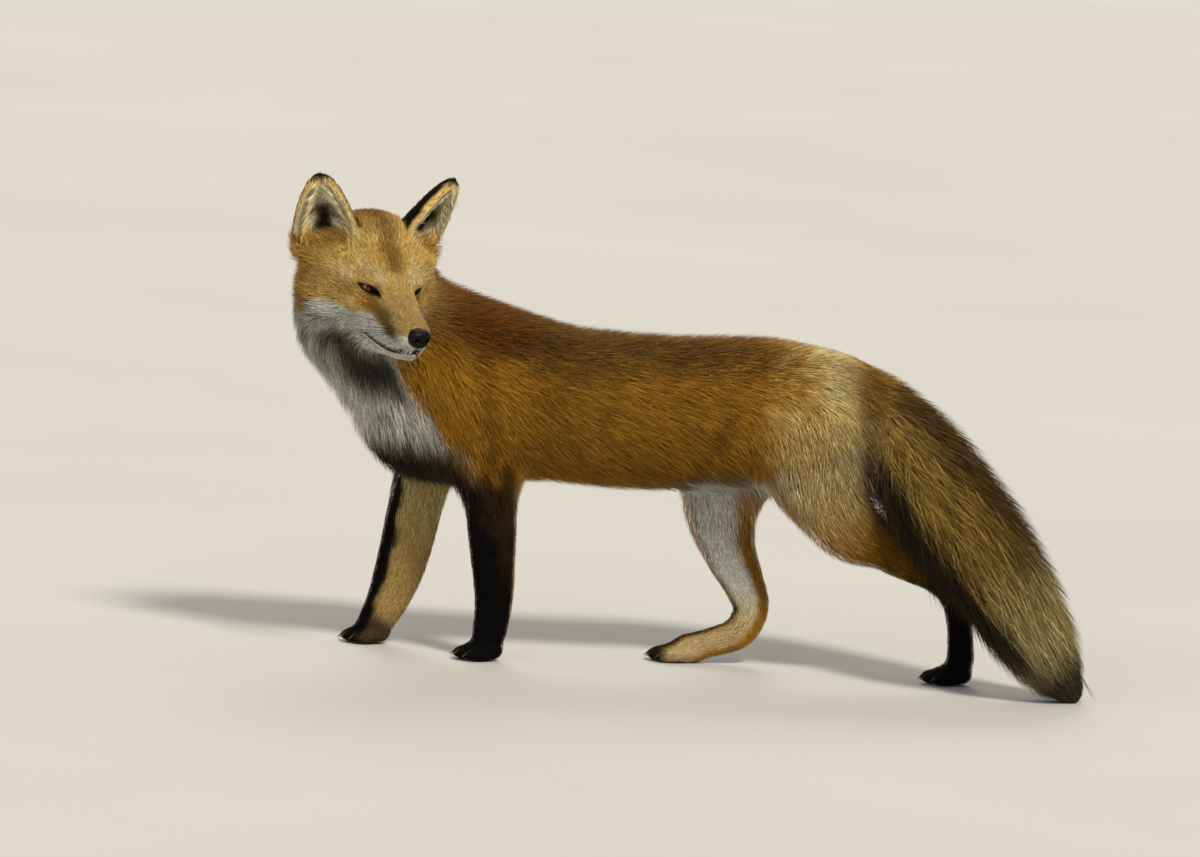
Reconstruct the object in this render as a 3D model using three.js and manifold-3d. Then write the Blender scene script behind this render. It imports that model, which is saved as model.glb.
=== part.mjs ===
// A life-size red fox (Vulpes vulpes), standing still with its head turned back over its left side.
// Millimetres, +Z up. The fox walks towards -X, its left side faces -Y, and its paws stand on Z = 0.
// The body is one smooth distance field, out to the tips of the coat. Each sub-part is that field
// polygonized inside a block of its own, with a thin cut between it and its neighbours.
import * as THREE from "three";
import { mergeVertices } from "three/addons/utils/BufferGeometryUtils.js";
import Module from "manifold-3d";

const wasm = await Module();
wasm.setup();
const radians = THREE.MathUtils.degToRad;

// ---------------------------------------------------------------- driving dimensions
const GAP = 0.3; // width of the cut between two neighbouring pieces
const EVENING_ROUNDS = 3; // rounds that spread a surface's points evenly
const STEEPEST = 0.95; // largest change of a limb's radius over its length

// The head's own frame: origin midway between the pupils, +X to the nose, +Y to the fox's left, +Z up.
const HEAD = {
  eyes: [-326.5, -115, 376],
  turn: 109.5, // degrees from straight ahead towards the fox's left
  nod: 17, // degrees below level
  roll: -1,
};
const EYE = { radius: 8.2, pupil: [0, 27.5, 0], outward: 32, hollow: 15 };
const EAR = {
  root: [-62, 52, 28],
  tip: [-60, 76, 96],
  halfWidth: 35.5,
  depth: 0.6, // of the half width, front to back
  wall: 4.5,
  foot: -0.3, // of the height, how far it runs down into the head
  cupFoot: -0.12,
  cupForward: 0.5, // of the depth
  outward: 28, // degrees that the cup faces outwards from straight ahead
};
const NOSE = { at: [73, 0, -20], half: [9, 11, 9.5] };

// The skull's forms in the head's frame: centre and half lengths. Those with a place across Y are paired.
const SKULL = [
  [[-60, 0, 10], [46, 56, 47]], // cranium
  [[-24, 0, 4], [28, 36, 25]], // brow
  [[-50, 0, -36], [48, 40, 32]], // throat
];
const CHEEKS = [
  [[-28, 32, -20], [28, 20, 20]], // cheekbone
  [[-56, 44, 6], [34, 25, 36]], // temple
  [[-56, 40, -34], [38, 34, 32]], // ruff of the cheek
];
// Muzzle and lower jaw: x, y, z, radius in the head's frame.
const MUZZLE = [
  [-4, 0, -12, 28],
  [24, 0, -16, 21],
  [50, 0, -21, 16],
  [66, 0, -23, 13.5],
];
const JAW = [
  [-8, 0, -42, 26],
  [26, 0, -44, 16.5],
  [50, 0, -42, 11.5],
  [64, 0, -39.5, 8.5],
];

// Trunk sections: x, height of the back, height of the belly and half the width.
const TRUNK = [
  [-318, 282, 225, 26],
  [-300, 310, 195, 45],
  [-262, 330, 177, 58],
  [-205, 344, 175, 64],
  [-150, 341, 178, 65],
  [-85, 337, 174, 65],
  [-10, 336, 175, 63],
  [50, 339, 181, 61],
  [105, 336, 192, 60],
  [145, 325, 216, 56],
  [172, 308, 240, 42],
  [190, 284, 262, 16],
];
const TRUNK_SQUARENESS = 2.25; // exponent of the section's superellipse

// Limbs run through stations: x, y, z, radius.
const NECK = [
  [-205, 0, 266, 70],
  [-250, 0, 286, 70],
  [-296, -6, 312, 70],
  [-336, -20, 334, 74],
  [-348, -40, 368, 60],
];
const TAIL = [
  [166, 2, 282, 36],
  [194, -9, 262, 48],
  [230, -41, 226, 57],
  [270, -86, 177, 59],
  [306, -113, 127, 58],
  [333, -121, 84, 53],
  [357, -118, 52, 44],
  [373, -117, 28, 31],
  [389, -114, 11, 14],
];
const LEGS = {
  fore_left: [
    [-212, -44, 245, 42],
    [-204, -43, 196, 35],
    [-198, -41, 150, 27],
    [-192, -39, 100, 23],
    [-188, -38, 60, 20],
    [-190, -38, 30, 18],
  ],
  fore_right: [
    [-238, 44, 245, 42],
    [-254, 43, 190, 33],
    [-262, 42, 140, 29],
    [-273, 40, 78, 26],
    [-286, 39, 38, 21],
    [-294, 39, 24, 18],
  ],
  hind_left: [
    [128, -40, 232, 56],
    [138, -42, 190, 46],
    [166, -41, 152, 35],
    [202, -40, 136, 24],
    [230, -39, 119, 17],
    [256, -38, 108, 15],
    [280, -38, 92, 17],
    [288, -38, 62, 14],
    [292, -38, 28, 15],
  ],
  hind_right: [
    [80, 38, 235, 52],
    [50, 40, 190, 46],
    [49, 38, 155, 40],
    [60, 34, 115, 28],
    [76, 30, 84, 22],
    [86, 27, 58, 19],
    [76, 25, 34, 18],
    [50, 24, 22, 16],
    [24, 22, 15, 15],
  ],
};
const LEG_FLATNESS = 1.3; // fore-and-aft depth over width

// Paws: the point under the wrist or ankle, the reach ahead of it and the heading in degrees from -X.
const PAWS = {
  fore_left: { at: [-190, -38], reach: 36, heading: 6 },
  fore_right: { at: [-294, 39], reach: 34, heading: 0 },
  hind_left: { at: [290, -38], reach: 38, heading: 4 },
  hind_right: { at: [24, 22], reach: 42, heading: 0 },
};
const PAW_WIDTH = 34;
const PAW_HEIGHT = 24;
const TOES = [-1.5, -0.5, 0.5, 1.5]; // places across the paw, in toe widths
const PAD = { ahead: 4, halfLength: 20, halfWidth: 0.46, halfHeight: 0.5, height: 0.44 }; // of the paw
const TOE = {
  radii: [8.5, 8, 7], // at the knuckle, the middle and the tip
  rises: [5, 2, 0], // of the same over the tip
  height: 6.5,
  pitch: 1.05, // of the paw's width
  outerShort: 8, // by which the outer toes fall short
};
const CLAW = { length: 11, radius: 1.8, depth: 1.25, curl: 2.2, droop: 22, ahead: 6, above: 1.2 };

// Masses that fill out the chest, shoulders and thighs: centre, half lengths and tilt about Y in degrees.
const MASSES = [
  { at: [-276, -5, 246], half: [64, 52, 70], tilt: 0 },
  { at: [-208, -42, 255], half: [44, 28, 80], tilt: -14 },
  { at: [-222, 42, 255], half: [44, 28, 80], tilt: -14 },
  { at: [128, -36, 250], half: [58, 34, 80], tilt: -14 },
  { at: [88, 36, 245], half: [56, 34, 76], tilt: 16 },
];

// How far two neighbouring forms run into each other.
const BLEND = { head: 14, hollow: 6, paw: 9, mass: 30, throat: 26, neck: 50, tail: 24, leg: 26 };

// Blocks that part the body: each has an origin, turns in degrees about X, Y and Z, and its low and high
// corners in its own axes. Cell is the grid's size on its axes.
const BLOCKS = {
  tail_tip: {
    at: [327, -116, 82],
    turn: [0, 52, 0],
    low: [0, -70, -75],
    high: [110, 70, 75],
    cell: [19, 19, 19],
  },
  tail: {
    at: [182, -2, 270],
    turn: [0, 50, -26],
    low: [0, -80, -60],
    high: [340, 80, 90],
    cell: [27, 21, 21],
  },
  neck: {
    at: [-245, 0, 272],
    turn: [0, 26, 0],
    low: [-240, -110, -130],
    high: [0, 110, 170],
    cell: [23, 23, 23],
  },
  trunk: {
    at: [0, 0, 0],
    turn: [0, 0, 0],
    low: [-340, -100, 165],
    high: [220, 100, 400],
    cell: [33, 24, 24],
  },
};
const HEAD_BLOCK = {
  turn: [0, -45, -16],
  low: [-66, -100, -130],
  high: [120, 80, 130],
  cell: [12, 12, 12],
};
const PAW_BLOCK = { low: [-40, -40, -20], high: [60, 40], cell: [10.9, 10.9, 10.9] };
const LOWER_CELL = [14.6, 14.6, 26];
const UPPER_CELL = [25, 20, 25];
const LEG_BLOCKS = {
  fore_left: { elbow: [-200, 168, 0], top: [-60, 55, 112], lower: [-60, 60], split: 24, slope: 26 },
  fore_right: { elbow: [-258, 168, 0], top: [-60, 55, 112], lower: [-90, 60], split: 24, slope: 26 },
  hind_left: { elbow: [150, 168, 0], top: [-85, 70, 110], lower: [-80, 190], split: 24, slope: 26 },
  hind_right: { elbow: [60, 165, 0], top: [-70, 60, 120], lower: [-90, 70], split: 30, slope: 26 },
};

// ---------------------------------------------------------------- distance fields
// Smooth minimum of two distances, blending over k.
function blend(a, b, k) {
  const h = Math.max(k - Math.abs(a - b), 0) / k;
  return Math.min(a, b) - (h * h * k) / 4;
}

const { clamp } = THREE.MathUtils;

// A round limb along a Catmull-Rom curve through stations, flattened across Y where asked. Each of its
// short steps is a cone with a ball at either end.
function limb(stations, flatness = 1, steps = 5) {
  const y0 = stations[0][1];
  const widen = (y) => y0 + (y - y0) * flatness;
  const path = new THREE.CatmullRomCurve3(
    stations.map(([x, y, z]) => new THREE.Vector3(x, widen(y), z)),
    false,
    "centripetal",
  );
  const last = stations.length - 1;
  const count = last * steps;
  const beads = Array.from({ length: count + 1 }, (_, i) => {
    const p = path.getPoint(i / count);
    const at = (i / count) * last;
    const from = Math.min(Math.floor(at), last - 1);
    const r = THREE.MathUtils.lerp(stations[from][3], stations[from + 1][3], at - from);
    return [p.x, p.y, p.z, r];
  });
  return (x, y, z) => {
    const wide = widen(y);
    let best = Infinity;
    for (let i = 0; i < count; i++) {
      const [ax, ay, az, ar] = beads[i];
      const [bx, by, bz, br] = beads[i + 1];
      const length = Math.hypot(bx - ax, by - ay, bz - az);
      const [px, py, pz] = [x - ax, wide - ay, z - az];
      const along = (px * (bx - ax) + py * (by - ay) + pz * (bz - az)) / length;
      const away = Math.sqrt(Math.max(px * px + py * py + pz * pz - along * along, 0));
      const widening = clamp((br - ar) / length, -STEEPEST, STEEPEST);
      const lean = widening / Math.sqrt(1 - widening * widening);
      const t = clamp((along + away * lean) / length, 0, 1);
      const d = Math.hypot(away, along - t * length) - ar - (br - ar) * t;
      if (d < best) best = d;
    }
    return best;
  };
}

// An ellipsoid, tilted about its own Y axis.
function ellipsoid(at, half, tilt = 0) {
  const c = Math.cos(radians(tilt));
  const s = Math.sin(radians(tilt));
  return (x, y, z) => {
    const px = x - at[0];
    const pz = z - at[2];
    const u = (px * c + pz * s) / half[0];
    const v = (y - at[1]) / half[1];
    const w = (pz * c - px * s) / half[2];
    const k0 = Math.hypot(u, v, w);
    const k1 = Math.hypot(u / half[0], v / half[1], w / half[2]);
    return k1 > 0 ? (k0 * (k0 - 1)) / k1 : -Math.min(...half);
  };
}

// Cubic interpolation of one column of a table whose first column is x.
function column(table, k) {
  const slope = (i) => {
    const a = table[Math.max(i - 1, 0)];
    const b = table[Math.min(i + 1, table.length - 1)];
    return (b[k] - a[k]) / (b[0] - a[0]);
  };
  return (x) => {
    let i = 0;
    while (i < table.length - 2 && x > table[i + 1][0]) i++;
    const a = table[i];
    const b = table[i + 1];
    const w = b[0] - a[0];
    const t = Math.min(Math.max((x - a[0]) / w, 0), 1);
    const s = t * t * (3 - 2 * t);
    const up = t * (1 - t) * (1 - t);
    const down = t * t * (t - 1);
    return a[k] * (1 - s) + b[k] * s + (up * slope(i) + down * slope(i + 1)) * w;
  };
}

// The trunk: superellipse sections swept along X.
const barrel = (() => {
  const [top, bottom, half] = [1, 2, 3].map((k) => column(TRUNK, k));
  const first = TRUNK[0][0];
  const last = TRUNK[TRUNK.length - 1][0];
  return (x, y, z) => {
    const at = Math.min(Math.max(x, first), last);
    const height = (top(at) - bottom(at)) / 2;
    const v = Math.abs(y) / half(at);
    const w = Math.abs(z - bottom(at) - height) / height;
    const q = Math.pow(v ** TRUNK_SQUARENESS + w ** TRUNK_SQUARENESS, 1 / TRUNK_SQUARENESS);
    const d = (q - 1) * Math.min(height, half(at));
    return Math.min(d, 0) + Math.hypot(Math.max(d, 0), x - at);
  };
})();

// A field given in the frame of a matrix, as one in the fox's.
function placed(matrix, field) {
  const e = matrix.clone().invert().elements;
  return (x, y, z) =>
    field(
      e[0] * x + e[4] * y + e[8] * z + e[12],
      e[1] * x + e[5] * y + e[9] * z + e[13],
      e[2] * x + e[6] * y + e[10] * z + e[14],
    );
}

// The head without its ears, nose leather and eyes.
const headForms = [
  ...SKULL.map(([at, half]) => ellipsoid(at, half)),
  limb(MUZZLE),
  limb(JAW),
];
for (const side of [1, -1]) {
  for (const [[x, y, z], half] of CHEEKS) headForms.push(ellipsoid([x, side * y, z], half));
}
const headMatrix = new THREE.Matrix4()
  .makeTranslation(...HEAD.eyes)
  .multiply(new THREE.Matrix4().makeRotationZ(radians(180 + HEAD.turn)))
  .multiply(new THREE.Matrix4().makeRotationY(radians(HEAD.nod)))
  .multiply(new THREE.Matrix4().makeRotationX(radians(HEAD.roll)));
const hollows = [1, -1].map((side) => {
  const out = EYE.hollow * 0.8;
  const x = EYE.pupil[0] + out * Math.cos(radians(EYE.outward));
  const y = EYE.pupil[1] + out * Math.sin(radians(EYE.outward));
  return ellipsoid([x, side * y, 0], [EYE.hollow, EYE.hollow, EYE.hollow * 0.8]);
});
const head = placed(headMatrix, (x, y, z) => {
  const full = headForms.reduce((d, form) => blend(d, form(x, y, z), BLEND.head), Infinity);
  return hollows.reduce((d, hollow) => -blend(-d, hollow(x, y, z), BLEND.hollow), full);
});

// A paw's frame: origin on the ground under the wrist or ankle, +X to the toes.
function pawMatrix({ at, heading }) {
  const turn = new THREE.Matrix4().makeRotationZ(radians(180 + heading));
  return new THREE.Matrix4().makeTranslation(at[0], at[1], 0).multiply(turn);
}

// The tip of one toe in its paw's frame. The middle two reach further than the outer two.
function toeTip(paw, place) {
  const reach = Math.abs(place) < 1 ? paw.reach : paw.reach - TOE.outerShort;
  return [reach - TOE.radii[2], (place * PAW_WIDTH * TOE.pitch) / TOES.length, TOE.height];
}

// A paw: the pad and its four toes.
function pawField(paw) {
  const half = [PAD.halfLength, PAW_WIDTH * PAD.halfWidth, PAW_HEIGHT * PAD.halfHeight];
  const pad = ellipsoid([PAD.ahead, 0, PAW_HEIGHT * PAD.height], half);
  const toes = TOES.map((place) => {
    const [x, y, z] = toeTip(paw, place);
    const joints = [[PAD.ahead, y * 0.7], [x - 10, y], [x, y]];
    return limb(joints.map(([along, across], i) => [along, across, z + TOE.rises[i], TOE.radii[i]]));
  });
  return placed(pawMatrix(paw), (x, y, z) =>
    toes.reduce((d, toe) => blend(d, toe(x, y, z), BLEND.paw / 2), pad(x, y, z)),
  );
}

// The coat's whole surface. Legs, tail and neck each blend with the body, but not with each other.
const masses = MASSES.map(({ at, half, tilt }) => ellipsoid(at, half, tilt));
const body = (x, y, z) =>
  masses.reduce((d, mass) => blend(d, mass(x, y, z), BLEND.mass), barrel(x, y, z));
const neck = limb(NECK);
const tail = limb(TAIL);
const fields = {
  head: (x, y, z) => blend(body(x, y, z), blend(neck(x, y, z), head(x, y, z), BLEND.throat), BLEND.neck),
  tail: (x, y, z) => blend(body(x, y, z), tail(x, y, z), BLEND.tail),
};
for (const [name, stations] of Object.entries(LEGS)) {
  const leg = limb(stations, LEG_FLATNESS);
  const paw = pawField(PAWS[name]);
  fields[name] = (x, y, z) =>
    blend(body(x, y, z), blend(leg(x, y, z), paw(x, y, z), BLEND.paw), BLEND.leg);
}
const coat = (x, y, z) => Object.values(fields).reduce((d, field) => Math.min(d, field(x, y, z)), Infinity);

// ---------------------------------------------------------------- polygonizing
// Moves a point onto the surface of a field by Newton's method, by no more than `reach`.
function settle(p, field, reach) {
  const h = 0.5;
  for (let step = 0; step < 3; step++) {
    const d = field(p.x, p.y, p.z);
    const slope = new THREE.Vector3(
      field(p.x + h, p.y, p.z) - field(p.x - h, p.y, p.z),
      field(p.x, p.y + h, p.z) - field(p.x, p.y - h, p.z),
      field(p.x, p.y, p.z + h) - field(p.x, p.y, p.z - h),
    ).divideScalar(2 * h);
    const move = slope.multiplyScalar(-d / Math.max(slope.lengthSq(), 0.04));
    p.add(move.clampLength(0, reach / 2));
  }
}

// Surface nets: one vertex in each cell that the surface crosses, and one quad for each grid edge that
// it crosses. The grid fills the box from low to high in the frame of the matrix. The vertices are then
// spread evenly over the surface.
function polygonize(field, { low, high, cell }, matrix) {
  const n = [0, 1, 2].map((a) => Math.ceil((high[a] - low[a]) / cell[a]) + 5);
  const start = [0, 1, 2].map((a) => (low[a] + high[a] - (n[a] - 1) * cell[a]) / 2);
  const at = (i, j, k) => (k * n[1] + j) * n[0] + i;
  const values = new Float64Array(n[0] * n[1] * n[2]);
  const p = new THREE.Vector3();
  const place = (i, j, k) =>
    p.set(start[0] + i * cell[0], start[1] + j * cell[1], start[2] + k * cell[2]).applyMatrix4(matrix);
  const cells = [];
  for (let k = 0; k < n[2]; k++)
    for (let j = 0; j < n[1]; j++)
      for (let i = 0; i < n[0]; i++) cells.push([i, j, k]);
  for (const c of cells) {
    place(...c);
    const onRim = c.some((v, a) => v === 0 || v === n[a] - 1);
    const value = field(p.x, p.y, p.z);
    values[at(...c)] = onRim ? Math.max(value, 1) : value;
  }
  const vertices = [];
  const vertexOf = new Map();
  // The vertex of the sheet of surface that passes round one inside corner of a cell. Corners that inside
  // edges of the cell join to each other share one sheet.
  const vertex = (cellAt, insideCorner) => {
    const cornerAt = (bits) => cellAt.map((v, a) => v + ((bits >> a) & 1));
    const valueAt = (bits) => values[at(...cornerAt(bits))];
    const joined = [insideCorner];
    const sum = new THREE.Vector3();
    let crossings = 0;
    for (const bits of joined)
      for (const across of [1, 2, 4]) {
        const other = bits ^ across;
        if (valueAt(other) >= 0) {
          const from = new THREE.Vector3(...cornerAt(bits));
          const to = new THREE.Vector3(...cornerAt(other));
          sum.add(from.lerp(to, valueAt(bits) / (valueAt(bits) - valueAt(other))));
          crossings++;
        } else if (!joined.includes(other)) joined.push(other);
      }
    const key = at(...cellAt) * 8 + Math.min(...joined);
    if (!vertexOf.has(key)) {
      vertexOf.set(key, vertices.length);
      vertices.push({
        point: place(...sum.divideScalar(crossings)).clone(),
        free: cellAt.every((v, a) => v > 0 && v < n[a] - 2),
        beside: new Set(),
      });
    }
    return vertexOf.get(key);
  };
  const index = [];
  for (const c of cells) {
    const inside = values[at(...c)] < 0;
    for (let a = 0; a < 3; a++) {
      const next = [...c];
      next[a] += 1;
      if (next[a] === n[a] || inside === values[at(...next)] < 0) continue;
      const quad = [[1, 1], [0, 1], [0, 0], [1, 0]].map(([s, t]) => {
        const cellAt = [...c];
        cellAt[(a + 1) % 3] -= s;
        cellAt[(a + 2) % 3] -= t;
        const end = inside ? 0 : 1;
        return vertex(cellAt, (end << a) | (s << ((a + 1) % 3)) | (t << ((a + 2) % 3)));
      });
      if (!inside) quad.reverse();
      index.push(quad[0], quad[1], quad[2], quad[0], quad[2], quad[3]);
      quad.forEach((v, corner) => vertices[v].beside.add(quad[(corner + 1) % 4]));
    }
  }
  for (let round = 0; round < EVENING_ROUNDS; round++) {
    const means = vertices.map(({ beside }) => {
      const mean = new THREE.Vector3();
      for (const v of beside) mean.addScaledVector(vertices[v].point, 1 / beside.size);
      return mean;
    });
    vertices.forEach(({ point, free }, v) => {
      if (!free) return;
      point.lerp(means[v], 0.7);
      settle(point, field, Math.min(...cell));
    });
  }
  const geometry = new THREE.BufferGeometry();
  geometry.setFromPoints(vertices.map(({ point }) => point));
  geometry.setIndex(index);
  return geometry;
}

// ---------------------------------------------------------------- solids
function solidOf(geometry, matrix = new THREE.Matrix4()) {
  const bare = new THREE.BufferGeometry();
  bare.setAttribute("position", geometry.getAttribute("position").clone());
  bare.setIndex(geometry.index);
  bare.applyMatrix4(matrix);
  const merged = mergeVertices(bare, 1e-4);
  return new wasm.Manifold(
    new wasm.Mesh({
      numProp: 3,
      vertProperties: merged.attributes.position.array,
      triVerts: new Uint32Array(merged.index.array),
    }),
  );
}

function geometryOf(solid) {
  const mesh = solid.getMesh();
  const geometry = new THREE.BufferGeometry();
  geometry.setAttribute("position", new THREE.BufferAttribute(mesh.vertProperties, 3));
  geometry.setIndex(new THREE.BufferAttribute(mesh.triVerts, 1));
  geometry.computeVertexNormals();
  return geometry;
}

// The frame of a block, from its origin and its turns about X, Y and Z.
function blockMatrix({ at, turn }) {
  const euler = new THREE.Euler(...turn.map(radians));
  return new THREE.Matrix4().makeRotationFromEuler(euler).setPosition(...at);
}

// A block as a solid, `grow` larger on every side.
function blockSolid({ low, high, matrix }, grow = 0) {
  const size = low.map((v, a) => high[a] - v + 2 * grow);
  const centre = low.map((v, a) => (high[a] + v) / 2);
  const move = new THREE.Matrix4().makeTranslation(...centre);
  return solidOf(new THREE.BoxGeometry(...size), matrix.clone().multiply(move));
}

// A paw's and a leg's blocks, from the ground up.
function legBlocks(name) {
  const { elbow, top, lower, split, slope } = LEG_BLOCKS[name];
  const side = Math.sign(PAWS[name].at[1]);
  const [x, z, tilt] = elbow;
  return {
    [`${name}_paw`]: {
      matrix: pawMatrix(PAWS[name]),
      low: PAW_BLOCK.low,
      high: [...PAW_BLOCK.high, split],
      cell: PAW_BLOCK.cell,
      field: fields[name],
      beyond: [],
    },
    [`${name}_lower`]: {
      matrix: blockMatrix({ at: [x, 0, z], turn: [0, tilt, 0] }),
      low: [lower[0], side < 0 ? -90 : 0, -200],
      high: [lower[1], side < 0 ? 0 : 90, 0],
      cell: LOWER_CELL,
      field: fields[name],
      beyond: [`${name}_paw`],
    },
    [`${name}_upper`]: {
      matrix: blockMatrix({ at: [x, side * 4, z], turn: [-side * slope, 0, 0] }),
      low: [top[0], side < 0 ? -120 : 0, -60],
      high: [top[1], side < 0 ? 0 : 120, top[2]],
      cell: UPPER_CELL,
      field: fields[name],
      beyond: name.startsWith("hind") ? [`${name}_lower`, "tail"] : [`${name}_lower`],
    },
  };
}

// ---------------------------------------------------------------- materials
const finish = (color, roughness) => ({ color, roughness, metalness: 0 });
const FINISHES = {
  rust: finish("#a9692c", 0.9),
  stocking: finish("#2a211b", 0.85),
  brush: finish("#8a6434", 0.9),
  leather: finish("#15130f", 0.35),
  amber: finish("#9a5a1c", 0.08),
  horn: finish("#2b2622", 0.45),
};

// ---------------------------------------------------------------- the fox
const blocks = {};
for (const name of Object.keys(LEGS)) Object.assign(blocks, legBlocks(name));
const uppers = Object.keys(LEGS).map((name) => `${name}_upper`);
const lowers = Object.keys(LEGS).map((name) => `${name}_lower`);
const matrixOf = ([name, block]) => [name, { ...block, matrix: blockMatrix(block) }];
const headBlockMatrix = headMatrix.clone().multiply(blockMatrix({ ...HEAD_BLOCK, at: [0, 0, 0] }));
const plain = Object.fromEntries(Object.entries(BLOCKS).map(matrixOf));
Object.assign(blocks, {
  tail_tip: { ...plain.tail_tip, field: fields.tail, beyond: [] },
  tail: { ...plain.tail, field: fields.tail, beyond: ["tail_tip"] },
  head: { ...HEAD_BLOCK, matrix: headBlockMatrix, field: fields.head, beyond: [] },
  neck: { ...plain.neck, field: fields.head, beyond: ["head", ...uppers.slice(0, 2)] },
  trunk: { ...plain.trunk, field: coat, beyond: ["neck", "tail", ...uppers, ...lowers] },
});

const fox = new THREE.Group();
const add = (name, solid, finishName) => {
  const mesh = new THREE.Mesh(geometryOf(solid), new THREE.MeshStandardMaterial(FINISHES[finishName]));
  mesh.name = name;
  fox.add(mesh);
};
const finishOf = (name) => {
  if (name.startsWith("tail")) return "brush";
  if (name.includes("paw") || name.includes("lower")) return "stocking";
  return "rust";
};

// A point of the head's frame in the fox's.
const headPoint = (p) => new THREE.Vector3(...p).applyMatrix4(headMatrix);

// Eyeballs, set so that their pupils lie at the given places.
function eyeCentre(side) {
  const back = new THREE.Vector3(Math.cos(radians(EYE.outward)), side * Math.sin(radians(EYE.outward)), 0);
  const [x, y, z] = EYE.pupil;
  return new THREE.Vector3(x, side * y, z).addScaledVector(back, -EYE.radius);
}
function eyeball(side, grow = 0) {
  const c = eyeCentre(side);
  const place = headMatrix.clone().multiply(new THREE.Matrix4().makeTranslation(c.x, c.y, c.z));
  return solidOf(new THREE.SphereGeometry(EYE.radius + grow, 12, 8), place);
}

// The nose leather: a rounded block with a nostril on either side.
function noseLeather(grow = 0) {
  const half = NOSE.half.map((v) => v + grow);
  const place = headMatrix
    .clone()
    .multiply(new THREE.Matrix4().makeTranslation(...NOSE.at))
    .multiply(new THREE.Matrix4().makeScale(...half));
  return solidOf(new THREE.SphereGeometry(1, 12, 8), place);
}

// An ear: a flattened cone with a rounded tip, hollowed by a smaller one set forwards.
const earHeight = new THREE.Vector3(...EAR.tip).distanceTo(new THREE.Vector3(...EAR.root));
function earWidth(t) {
  const taper = Math.sqrt(1 - Math.max(t, 0));
  const waist = 1 - 0.55 * Math.pow(Math.max(0.25 - t, 0), 1.2);
  return EAR.halfWidth * taper * waist;
}
function earCone(side, { inset = 0, forward = 0, foot = EAR.foot, grow = 0 }) {
  const rings = 6;
  const profile = [new THREE.Vector2(0, foot * earHeight - grow)];
  for (let i = 0; i < rings; i++) {
    const t = foot + (1 - foot) * Math.sin((i / rings) * Math.PI * 0.5);
    profile.push(new THREE.Vector2(earWidth(t) - inset + grow, t * (earHeight - inset) - (i ? 0 : grow)));
  }
  profile.push(new THREE.Vector2(0, earHeight - inset * 1.6 + grow));
  const root = new THREE.Vector3(EAR.root[0], side * EAR.root[1], EAR.root[2]);
  const tip = new THREE.Vector3(EAR.tip[0], side * EAR.tip[1], EAR.tip[2]);
  const up = tip.sub(root).normalize();
  const faces = new THREE.Vector3(Math.cos(radians(EAR.outward)), side * Math.sin(radians(EAR.outward)), 0);
  const across = new THREE.Vector3().crossVectors(up, faces).normalize();
  const open = new THREE.Vector3().crossVectors(across, up);
  const place = new THREE.Matrix4().makeBasis(across, up, open);
  place.setPosition(root.addScaledVector(open, forward * EAR.halfWidth * EAR.depth));
  place.multiply(new THREE.Matrix4().makeScale(1, 1, EAR.depth));
  return solidOf(new THREE.LatheGeometry(profile, 14), headMatrix.clone().multiply(place));
}

// Claws, each a curved cone at the end of its toe.
function claws(name) {
  const paw = PAWS[name];
  return TOES.map((place) => {
    const [x, y, z] = toeTip(paw, place);
    return (grow) => {
      const cone = new THREE.ConeGeometry(CLAW.radius + grow, CLAW.length + 2 * grow, 6, 2);
      const p = cone.attributes.position;
      for (let i = 0; i < p.count; i++) {
        const t = p.getY(i) / CLAW.length + 0.5;
        p.setZ(i, p.getZ(i) * CLAW.depth - CLAW.curl * t * t);
      }
      cone.rotateZ(-Math.PI / 2);
      const droop = new THREE.Matrix4().makeRotationY(radians(CLAW.droop));
      const set = droop.setPosition(x + CLAW.ahead, y, z + CLAW.above);
      return solidOf(cone, pawMatrix(paw).multiply(set));
    };
  });
}

const solids = {};
for (const [name, block] of Object.entries(blocks)) {
  let solid = solidOf(polygonize(block.field, block, block.matrix)).intersect(blockSolid(block));
  for (const beyond of block.beyond) solid = solid.subtract(blockSolid(blocks[beyond], GAP));
  if (name.includes("paw") || name === "tail_tip") solid = solid.trimByPlane([0, 0, 1], 0);
  solids[name] = solid;
}
for (const side of [1, -1]) {
  const ear = earCone(side, { grow: GAP });
  solids.head = solids.head.subtract(eyeball(side, GAP)).subtract(ear);
  solids.neck = solids.neck.subtract(ear);
}
solids.head = solids.head.subtract(noseLeather(GAP));
const clawsOf = {};
for (const name of Object.keys(PAWS)) {
  clawsOf[name] = claws(name);
  for (const claw of clawsOf[name]) {
    solids[`${name}_paw`] = solids[`${name}_paw`].subtract(claw(GAP));
  }
}
for (const [name, solid] of Object.entries(solids)) add(name, solid, finishOf(name));
for (const [side, word] of [[1, "left"], [-1, "right"]]) {
  const cup = { inset: EAR.wall, forward: EAR.cupForward, foot: EAR.cupFoot };
  const ear = earCone(side, {}).subtract(earCone(side, cup));
  add(`ear_${word}`, ear, "rust");
  add(`eye_${word}`, eyeball(side), "amber");
}
add("nose", noseLeather(), "leather");
for (const [name, list] of Object.entries(clawsOf)) {
  list.forEach((claw, i) => add(`${name}_claw_${i + 1}`, claw(0), "horn"));
}

// The origin is the middle of the footprint, on the ground.
const { min, max } = new THREE.Box3().setFromObject(fox);
fox.position.set(-(min.x + max.x) / 2, -(min.y + max.y) / 2, -min.z);

export default fox;
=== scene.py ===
"""A life-size red fox, standing with its head turned back over its left side.

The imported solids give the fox's outline out to the tips of its coat. Here one skin lies inside them by
the coat's depth, and tufts of fur grow from it and follow the lie of the coat. The solids' design is
repeated in millimetres of its own frame: the fox walks towards -X, its left side faces -Y, and its paws
stand on Z = 0.
"""
import math

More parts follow.
